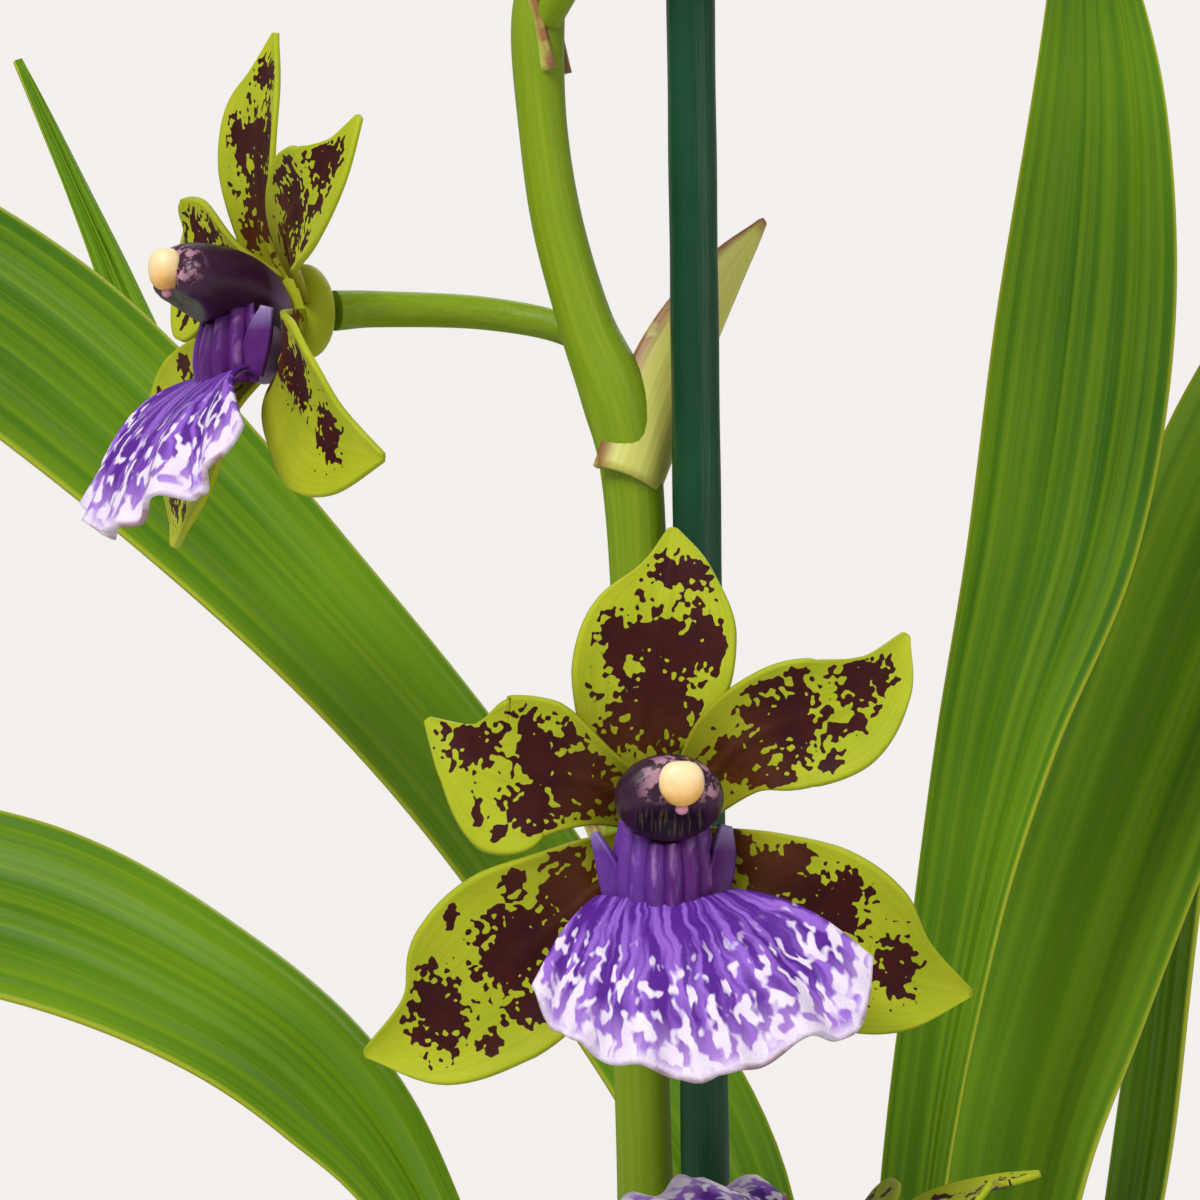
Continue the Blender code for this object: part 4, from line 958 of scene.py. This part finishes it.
def mark_field(name, points, t_all, s_all):
    """How far inside a blotch each point is, from 0 at its edge, and how far its foot browns."""
    x, z = points[:, 0], points[:, 2]
    best = np.full(len(points), -3.0)
    for cx, cz, rx, rz, turn in MARKS[name]:
        a = math.radians(turn)
        dx, dz = x - cx, z - cz
        u = (dx * math.cos(a) + dz * math.sin(a)) / rx
        v = (-dx * math.sin(a) + dz * math.cos(a)) / rz
        best = np.maximum(best, 1 - np.hypot(u, v))
    clean = (np.abs(s_all) - CLEAN_MARGIN) / (1 - CLEAN_MARGIN)
    return {"mark": best - 0.9 * np.clip(clean, 0, 1), "fade": np.clip(1.15 - 3.0 * t_all, 0, 1)}


def fine_tepals(material):
    """One mesh of the five tepals and the hub, as the plain node has them."""
    parts = []
    for name, stations in TEPALS.items():
        centres = [forward_frame(st[:3]) for st in stations]
        widths = [st[3:5] for st in stations]
        faces = [(0.0, -1.0, 0.0)] * len(stations)
        curls = [TEPAL_FORWARD_CURL] * len(stations)
        phase = sum(map(ord, name))

        def place(t, s):
            keel = TEPAL_RELIEF * math.exp(-(s / 0.08) ** 2) * (1 - t)
            ripple = abs(s) ** 3 * math.sin(9 * t + phase + 1.5 * (s > 0)) * math.sin(math.pi * t)
            return blade_point(centres, faces, widths, curls, t, s, keel + TEPAL_RELIEF * ripple)

        parts.append(grid_object(f"fine_{name}", TEPAL_GRID, place, PETAL_THICKNESS,
                                 lambda p, t, s, n=name: mark_field(n, p, t, s)))
    hub = fine_ball("fine_hub", *HUB, 28)
    for key, value in (("mark", -2.0), ("fade", 0.15), ("along", 0.1), ("across", 0.0)):
        set_field(hub, key, value)
    return merged("tepals", [*parts, hub], material)


def merged(name, parts, material):
    """Joins meshes into one object, keeping their attributes."""
    with bpy.context.temp_override(active_object=parts[0], selected_editable_objects=parts,
                                   selected_objects=parts, object=parts[0]):
        bpy.ops.object.join()
    made = parts[0]
    made.name = made.data.name = name
    made.data.materials.clear()
    made.data.materials.append(material)
    return made


def fine_lip(material):
    """The lip's blade, with small crimps at its edge."""
    def place(t, s):
        crimp = LIP_CRIMP * t ** 6 * math.sin(31 * s + 2 * math.sin(9 * s))
        return lip_point(t, s) + forward_frame((0, crimp, 0.5 * crimp))

    return merged("lip", [grid_object("lip", LIP_GRID, place, PETAL_THICKNESS)], material)


def fine_callus(material):
    """The callus, with the side lobes that flank it."""
    def ribs(points, t_all, s_all):
        return {"rib": 0.5 + 0.5 * np.cos(2 * np.pi * CALLUS_RIBS * (s_all + 1) / 2), "flap": 0.0}

    def place(t, s):
        # its shoulders stand up against the column's flanks, with a notch between them
        shoulder = SHOULDER_RISE * t * t * abs(math.sin(math.radians(CALLUS_HALF_ANGLE) * s)) ** 1.4
        return callus_point(t, s) + forward_frame((0, 0, shoulder))

    parts = [grid_object("callus", CALLUS_GRID, place, CALLUS_SKIN, ribs, 1.0)]
    for number, stations in enumerate(SIDE_LOBES):
        centres = [forward_frame(st[:3]) for st in stations]
        widths = [st[3:5] for st in stations]
        faces = [(math.copysign(LOBE_FACE[0], stations[0][0]), *LOBE_FACE[1:])] * len(stations)
        curls = [LOBE_CURL] * len(stations)
        parts.append(grid_object(
            f"side_lobe_{number}", LOBE_GRID,
            lambda t, s: blade_point(centres, faces, widths, curls, t, s), LOBE_THICKNESS,
            lambda p, t, s: {"rib": 0.0, "flap": 1.0}))
    return merged("callus", parts, material)


def fine_column(material):
    """The column's hood and foot, smooth, with the hollow under its front edge."""
    rows, sides = COLUMN_GRID
    corners, forward = [], []
    for r in range(rows + 1):
        f, height, width, depth = smooth_value(COLUMN, r / rows)
        for k in range(sides):
            a = 2 * math.pi * k / sides
            hollow = max(0.0, -math.cos(a)) ** 2 * max(0.0, min(1.0, (f - HOLLOW_FROM) / HOLLOW_RUN))
            lift = depth * math.cos(a) * (1 - HOLLOW_LIFT * hollow)
            corners.append(forward_frame((width * math.sin(a), f - HOLLOW_DEPTH * hollow,
                                          height + lift)))
            forward.append(f)
    for end in (0, rows):
        ring = corners[end * sides:(end + 1) * sides]
        corners.append(np.mean(ring, axis=0))
        forward.append(forward[end * sides])
    faces = ring_faces(rows, sides)
    low, high = len(corners) - 2, len(corners) - 1
    for k in range(sides):
        faces.append((low, (k + 1) % sides, k))
        faces.append((high, rows * sides + k, rows * sides + (k + 1) % sides))
    body = from_corners("column", corners, faces)
    body.data.shade_smooth()
    add_place(body)
    parts = [body, fine_ball("column_foot", *FOOT_WEDGE), fine_ball("rostellum", *ROSTELLUM)]
    for piece, value in zip(parts, (forward, FOOT_FORWARD, BEAK_FORWARD)):
        set_field(piece, "forward", value)
    return merged("column", parts, material)


def fine_cap(material):
    """The anther cap: a ball made squarer, and drawn to a point at its foot."""
    cap = fine_ball("cap", *ANTHER_CAP)
    centre, radii = Vector(forward_frame(ANTHER_CAP[0])), ANTHER_CAP[1]
    for vertex in cap.data.vertices:
        unit_at = [(co / MM - c) / r for co, c, r in zip(vertex.co, centre, radii)]
        square = sum(abs(v) ** CAP_SQUARENESS for v in unit_at) ** (-1 / CAP_SQUARENESS)
        narrow = 1 - CAP_POINT * max(0.0, -unit_at[2]) ** 2
        grow = (square * narrow, square, square)
        vertex.co = Vector([(c + r * v * g) * MM
                            for c, r, v, g in zip(centre, radii, unit_at, grow)])
    return merged("cap", [cap], material)


def fine_ball(name, centre, radii, sides=26):
    """A smooth ball from its centre (x, forward, z) and its radii."""
    bm = bmesh.new()
    bmesh.ops.create_uvsphere(bm, u_segments=sides, v_segments=18, radius=1.0)
    c = forward_frame(centre)
    for vertex in bm.verts:
        vertex.co = Vector([(a + r * b) * MM for a, r, b in zip(c, radii, vertex.co)])
    bmesh.ops.recalc_face_normals(bm, faces=bm.faces)
    made = from_bmesh(name, bm)
    made.data.shade_smooth()
    add_place(made)
    return made


def dress(made, material, replaced, slot):
    """Gives a piece its material and its place in the frame."""
    if not made.data.materials:
        made.data.materials.append(material)
    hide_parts(replaced)
    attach(made, "root")


def make_blooms(mats):
    """Builds one bloom at the origin, then a copy of its pieces for each bloom."""
    masters = [
        ("tepals", "tepals", "tepal", fine_tepals(mats["tepal"])),
        ("lip", "lip", "lip", fine_lip(mats["lip"])),
        ("callus", "lip", "lip", fine_callus(mats["callus"])),
        ("column", "column", "column", fine_column(mats["column"])),
        ("cap", "anther_cap", "anther_cap", fine_cap(mats["cap"])),
    ]
    for name, hub, face, top, size, _ in BLOOMS:
        place = bloom_matrix(hub, face, top, size)
        for piece, node, slot, master in masters:
            copy = linked(f"fine_{name}_{piece}", master.data.copy())
            copy.data.transform(place)
            dress(copy, None, f"{name}_{node}", slot)
    for *_, master in masters:
        bpy.data.objects.remove(master)


def make_leaves(mats):
    """The plain leaves' own blades, with finer pleats and a slow wave of the margins."""
    for name, (stations, foot_face, tip_face) in LEAVES.items():
        centres = [st[:3] for st in stations]
        widths = [(st[3], st[3]) for st in stations]
        last = len(stations) - 1
        foot_face, tip_face = np.array(foot_face), np.array(tip_face)
        faces = [foot_face + (tip_face - foot_face) * i / last for i in range(last + 1)]
        curls = [LEAF_TIP_CURL + (LEAF_FOOT_CURL - LEAF_TIP_CURL) * max(0, 1 - 2.6 * i / last)
                 for i in range(last + 1)]
        phase = sum(map(ord, name)) % 7

        def place(t, s):
            swell = math.sin(math.pi * t)
            pleat = LEAF_PLEAT * math.cos(math.pi * LEAF_PLEATS / 2 * s)
            pleat += LEAF_FINE_PLEAT * math.cos(math.pi * LEAF_FINE_PLEATS * s)
            wave = LEAF_WAVE * abs(s) ** 3 * math.sin(14 * t + phase + 2 * (s > 0))
            return blade_point(centres, faces, widths, curls, t, s, (pleat + wave) * swell)

        leaf = grid_object(f"fine_{name}", LEAF_GRID, place, LEAF_THICKNESS)
        dress(leaf, mats["leaf"], name, "leaf")


def taper(foot, flare, power, count):
    """Radii that widen from foot by flare, slowly at first."""
    return [foot + flare * (i / (count - 1)) ** power for i in range(count)]


def make_spike(mats):
    """The stem, a pedicel for each bloom and bud, and the bracts."""
    rods = [("fine_stem", smooth_line([st[:3] for st in STEM_LINE], STEM_STEPS),
             smooth_line([st[3] for st in STEM_LINE], STEM_STEPS), 28)]
    for name, hub, face, top, size, points in BLOOMS:
        path = smooth_line([*points, *pedicel_ends(hub, face, top, size)], PEDICEL_STEPS)
        rods.append((f"fine_{name}_pedicel", path,
                     taper(PEDICEL_RADIUS, PEDICEL_FLARE, 2, PEDICEL_STEPS), 20))
    for name, points, _, radius in BUDS:
        rods.append((f"fine_{name}_pedicel", smooth_line(points, BUD_STEPS),
                     taper(BUD_PEDICEL_RADIUS, BUD_PEDICEL_FLARE * radius, 3, BUD_STEPS), 18))
    for rod in rods:
        dress(fine_tube(*rod), mats["stem"], "flower_spike", "stem")
    for name, foot, tip, half_width, face in BRACTS:
        foot, tip = np.array(foot), np.array(tip)
        centres = [foot + (tip - foot) * u + np.array([0, 0, BRACT_BOW * math.sin(math.pi * u)])
                   for u in BRACT_SPANS]
        widths = [(half_width * share,) * 2 for share in BRACT_SHARES] + [(BRACT_TIP,) * 2]
        faces = [face] * len(centres)
        bract = grid_object(f"fine_bract_{name}", BRACT_GRID, lambda t, s: blade_point(
            centres, faces, widths, BRACT_CURLS, t, s), BRACT_THICKNESS)
        dress(bract, mats["bract"], "flower_spike", "stem")


def make_buds(mats):
    """Closed buds: pointed ovals with the seams of three sepals as shallow grooves."""
    for name, points, length, radius in BUDS:
        foot = Vector(points[-1])
        along = (foot - Vector(points[-2])).normalized()
        turn = Vector((0, 0, 1)).rotation_difference(along).to_matrix()
        bm = bmesh.new()
        bmesh.ops.create_uvsphere(bm, u_segments=48, v_segments=32, radius=1.0)
        for vertex in bm.verts:
            angle = math.atan2(vertex.co.y, vertex.co.x)
            u = (vertex.co.z + 1) / 2
            groove = 1 - 0.07 * (1 + math.cos(3 * angle)) / 2
            swell = radius * groove * math.hypot(vertex.co.x, vertex.co.y) * (1.12 - 0.42 * u)
            local = Vector((swell * math.cos(angle), swell * math.sin(angle), length * u + GAP))
            vertex.co = (foot + turn @ local) * MM
        bud = from_bmesh(f"fine_{name}", bm)
        bud.data.shade_smooth()
        add_place(bud)
        dress(bud, mats["bud"], name, "bud")


def make_pseudobulbs(mats):
    """The bulbs' own outline, rounder, with shallow ribs down their flanks."""
    for name, (x, y), foot, waist, crown in PSEUDOBULBS:
        low = BARK_LEVEL + GAP
        height = CROWN_LEVEL - low
        profile = [(0, CROWN_LEVEL), (crown - 1.0, CROWN_LEVEL), (crown, CROWN_LEVEL - 0.8)]
        for i in range(BULB_STEPS, -1, -1):
            u = 0.94 * i / BULB_STEPS
            bulge = math.sin(math.pi * (0.12 + 0.76 * u)) ** 0.8
            base = foot + (crown - foot) * u
            profile.append((base + (waist - base) * bulge * (1 - abs(u - 0.45)), low + height * u))
        profile.append((0, low))
        bulb = turned(f"fine_{name}", profile, 72)
        for vertex in bulb.data.vertices:
            angle = math.atan2(vertex.co.y, vertex.co.x)
            rib = 1 - BULB_RIB * (1 + math.cos(BULB_RIBS * angle))
            vertex.co.x = vertex.co.x * rib + x * MM
            vertex.co.y = vertex.co.y * rib + y * MM
        add_place(bulb)
        dress(bulb, mats["pseudobulb"], name, "pseudobulb")


def make_pot(mats):
    """The pot's own outline, with the edges of its rim and foot rounded."""
    inner_top = POT_TOP_RADIUS - POT_WALL
    inner_foot = POT_FOOT_RADIUS - POT_WALL
    rim_foot = POT_HEIGHT - POT_RIM_HEIGHT
    rim = POT_TOP_RADIUS + POT_RIM_PROUD
    profile = [
        (0, POT_FLOOR), (inner_foot, POT_FLOOR), (inner_top, POT_HEIGHT - 1.6),
        (inner_top + 0.5, POT_HEIGHT - 0.5), (inner_top + 1.6, POT_HEIGHT),
        (rim - 1.6, POT_HEIGHT), (rim - 0.5, POT_HEIGHT - 0.5), (rim, POT_HEIGHT - 1.6),
        (rim - 0.8, rim_foot + 1.2), (rim - 1.2, rim_foot + 0.3), (rim - 2.2, rim_foot),
        (wall_radius(rim_foot) + 0.2, rim_foot - 0.4),
        (POT_FOOT_RADIUS + 0.6, 2.0), (POT_FOOT_RADIUS, 0.5), (POT_FOOT_RADIUS - 1.4, 0),
        (0, 0),
    ]
    pot = turned("fine_pot", profile, 160)
    add_place(pot)
    dress(pot, mats["pot"], "pot", "pot")


def make_bark(mats):
    """The plain medium's own outline, then far more chips strewn on it."""
    rng = random.Random(BARK_SEED)
    top = wall_radius(BARK_LEVEL) - POT_WALL - GAP - 0.5
    low = wall_radius(POT_FLOOR) - POT_WALL - GAP - 1.3
    base = turned("fine_bark", [(0, BARK_LEVEL), (top, BARK_LEVEL), (low, POT_FLOOR + GAP),
                                (0, POT_FLOOR + GAP)], 96)
    taken = [(x, y, waist + 1.0) for _, (x, y), _, waist, _ in PSEUDOBULBS]
    taken += [(*STEM_LINE[1][:2], STEM_CLEAR), (*STAKE_AT_BARK, STAKE_CLEAR)]
    bm = bmesh.new()
    for _ in range(CHIP_TRIES):
        size = rng.uniform(*CHIP_SIZES)
        r = (top - size) * math.sqrt(rng.random())
        a = rng.uniform(0, 2 * math.pi)
        x, y = r * math.cos(a), r * math.sin(a)
        if any(math.hypot(x - cx, y - cy) < clear + size * CHIP_REACH for cx, cy, clear in taken):
            continue
        spin = Euler((rng.uniform(-0.4, 0.4), rng.uniform(-0.4, 0.4), rng.uniform(0, 6.28)))
        height = rng.uniform(*CHIP_HEIGHTS)
        level = BARK_LEVEL + rng.uniform(*CHIP_LIFTS)
        corners = []
        for _ in range(CHIP_CORNERS):
            flat = Vector((rng.uniform(-1, 1), rng.uniform(-0.62, 0.62), rng.uniform(-1, 1)))
            local = Vector((flat.x * size * CHIP_REACH, flat.y * size * CHIP_REACH, flat.z * height))
            local.rotate(spin)
            corners.append(bm.verts.new((local + Vector((x, y, level))) * MM))
        bmesh.ops.convex_hull(bm, input=corners)
    for piece in (base, from_bmesh("fine_chips", bm)):
        add_place(piece)
        dress(piece, mats["bark"], "bark_medium", "bark")


def make_stake(mats):
    """The coated rod, slightly uneven, with a round top."""
    top = STAKE_TOP[2]
    shaft = np.linspace(STAKE_FOOT[2], top - STAKE_DOME, 120)
    dome = np.linspace(0.1, math.pi / 2, 10)
    heights = [*shaft, *(top - STAKE_DOME + STAKE_DOME * math.sin(a) for a in dome)]
    radii = [STAKE_RADIUS + 0.03 * math.sin(h * 2.1) for h in shaft]
    radii += [max(0.3, STAKE_RADIUS * math.cos(a)) for a in dome]
    stake = fine_tube("fine_stake", [stake_point(h) for h in heights], radii, 40)
    dress(stake, mats["stake"], "stake", "stake")


def make_ties(mats):
    """Each wire tie: a closed loop round the stem and the stake."""
    for number, height in enumerate(CLIP_HEIGHTS, 1):
        sx, sy, _, stem_radius = stem_point(height)
        kx, ky, _ = stake_point(height)
        away = math.atan2(ky - sy, kx - sx)
        points = []
        for centre, reach, start in (
                ((sx, sy), stem_radius + 1.0 + CLIP_RADIUS, away + math.pi / 2),
                ((kx, ky), STAKE_RADIUS + 0.7 + CLIP_RADIUS, away - math.pi / 2)):
            for i in range(TIE_STEPS + 1):
                a = start + math.pi * i / TIE_STEPS
                points.append((centre[0] + reach * math.cos(a), centre[1] + reach * math.sin(a),
                               height))
        curve = bpy.data.curves.new(f"fine_tie_{number}", "CURVE")
        curve.dimensions = "3D"
        curve.bevel_depth = CLIP_RADIUS * MM
        curve.bevel_resolution = 4
        spline = curve.splines.new("POLY")
        spline.use_cyclic_u = True
        spline.points.add(len(points) - 1)
        for point, co in zip(spline.points, points):
            point.co = (*(Vector(co) * MM), 1.0)
        holder = linked("holder", curve)
        graph = bpy.context.evaluated_depsgraph_get()
        mesh = bpy.data.meshes.new_from_object(holder.evaluated_get(graph))
        bpy.data.objects.remove(holder)
        tie = linked(f"fine_tie_{number}", mesh)
        mesh.shade_smooth()
        add_place(tie)
        dress(tie, mats["tie"], f"tie_{number}", "tie")


def make_stage():
    """A pale floor, soft light from the upper left and the camera of the photograph."""
    scene = bpy.context.scene
    scene.view_settings.view_transform = "Standard"
    bm = bmesh.new()
    bmesh.ops.create_circle(bm, cap_ends=True, segments=96, radius=FLOOR_RADIUS)
    floor = from_bmesh("floor", bm)
    floor.data.materials.append(floor_material())
    world = bpy.data.worlds.new("studio")
    scene.world = world
    world.use_nodes = True
    nodes, links = world.node_tree.nodes, world.node_tree.links
    sky = nodes["Background"]
    sky.inputs["Color"].default_value = SKY_COLOUR
    # The backdrop stays bright to the camera, while it lights the plant more softly
    path = nodes.new("ShaderNodeLightPath")
    level = nodes.new("ShaderNodeMapRange")
    level.inputs["To Min"].default_value = SKY_LIGHT
    level.inputs["To Max"].default_value = 1.0
    links.new(path.outputs["Is Camera Ray"], level.inputs["Value"])
    links.new(level.outputs[0], sky.inputs["Strength"])
    for name, place, power, size in LIGHTS:
        light = bpy.data.lights.new(name, "AREA")
        light.energy = power
        light.size = size
        lamp = linked(name, light)
        lamp.location = place
        aim = Vector(LIGHT_AIM) - Vector(place)
        lamp.rotation_euler = aim.to_track_quat("-Z", "Y").to_euler()
    lens = bpy.data.cameras.new("camera")
    lens.lens = LENS
    lens.sensor_fit = "HORIZONTAL"
    lens.sensor_width = SENSOR_WIDTH
    camera = linked("camera", lens)
    camera.location = CAMERA_PLACE
    camera.rotation_euler = (math.pi / 2, 0, 0)
    scene.camera = camera


def main():
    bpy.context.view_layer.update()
    mats = {
        "tepal": tepal_material(), "lip": lip_material(), "callus": callus_material(),
        "column": column_material(), "cap": cap_material(), "leaf": leaf_material(),
        "stem": stem_material(), "bract": bract_material(), "bud": bud_material(),
        "pseudobulb": pseudobulb_material(), "pot": pot_material(), "bark": bark_material(),
        "stake": stake_material(), "tie": tie_material(),
    }
    make_stage()
    make_pot(mats)
    make_bark(mats)
    make_stake(mats)
    make_ties(mats)
    make_pseudobulbs(mats)
    make_leaves(mats)
    make_spike(mats)
    make_buds(mats)
    make_blooms(mats)


main()
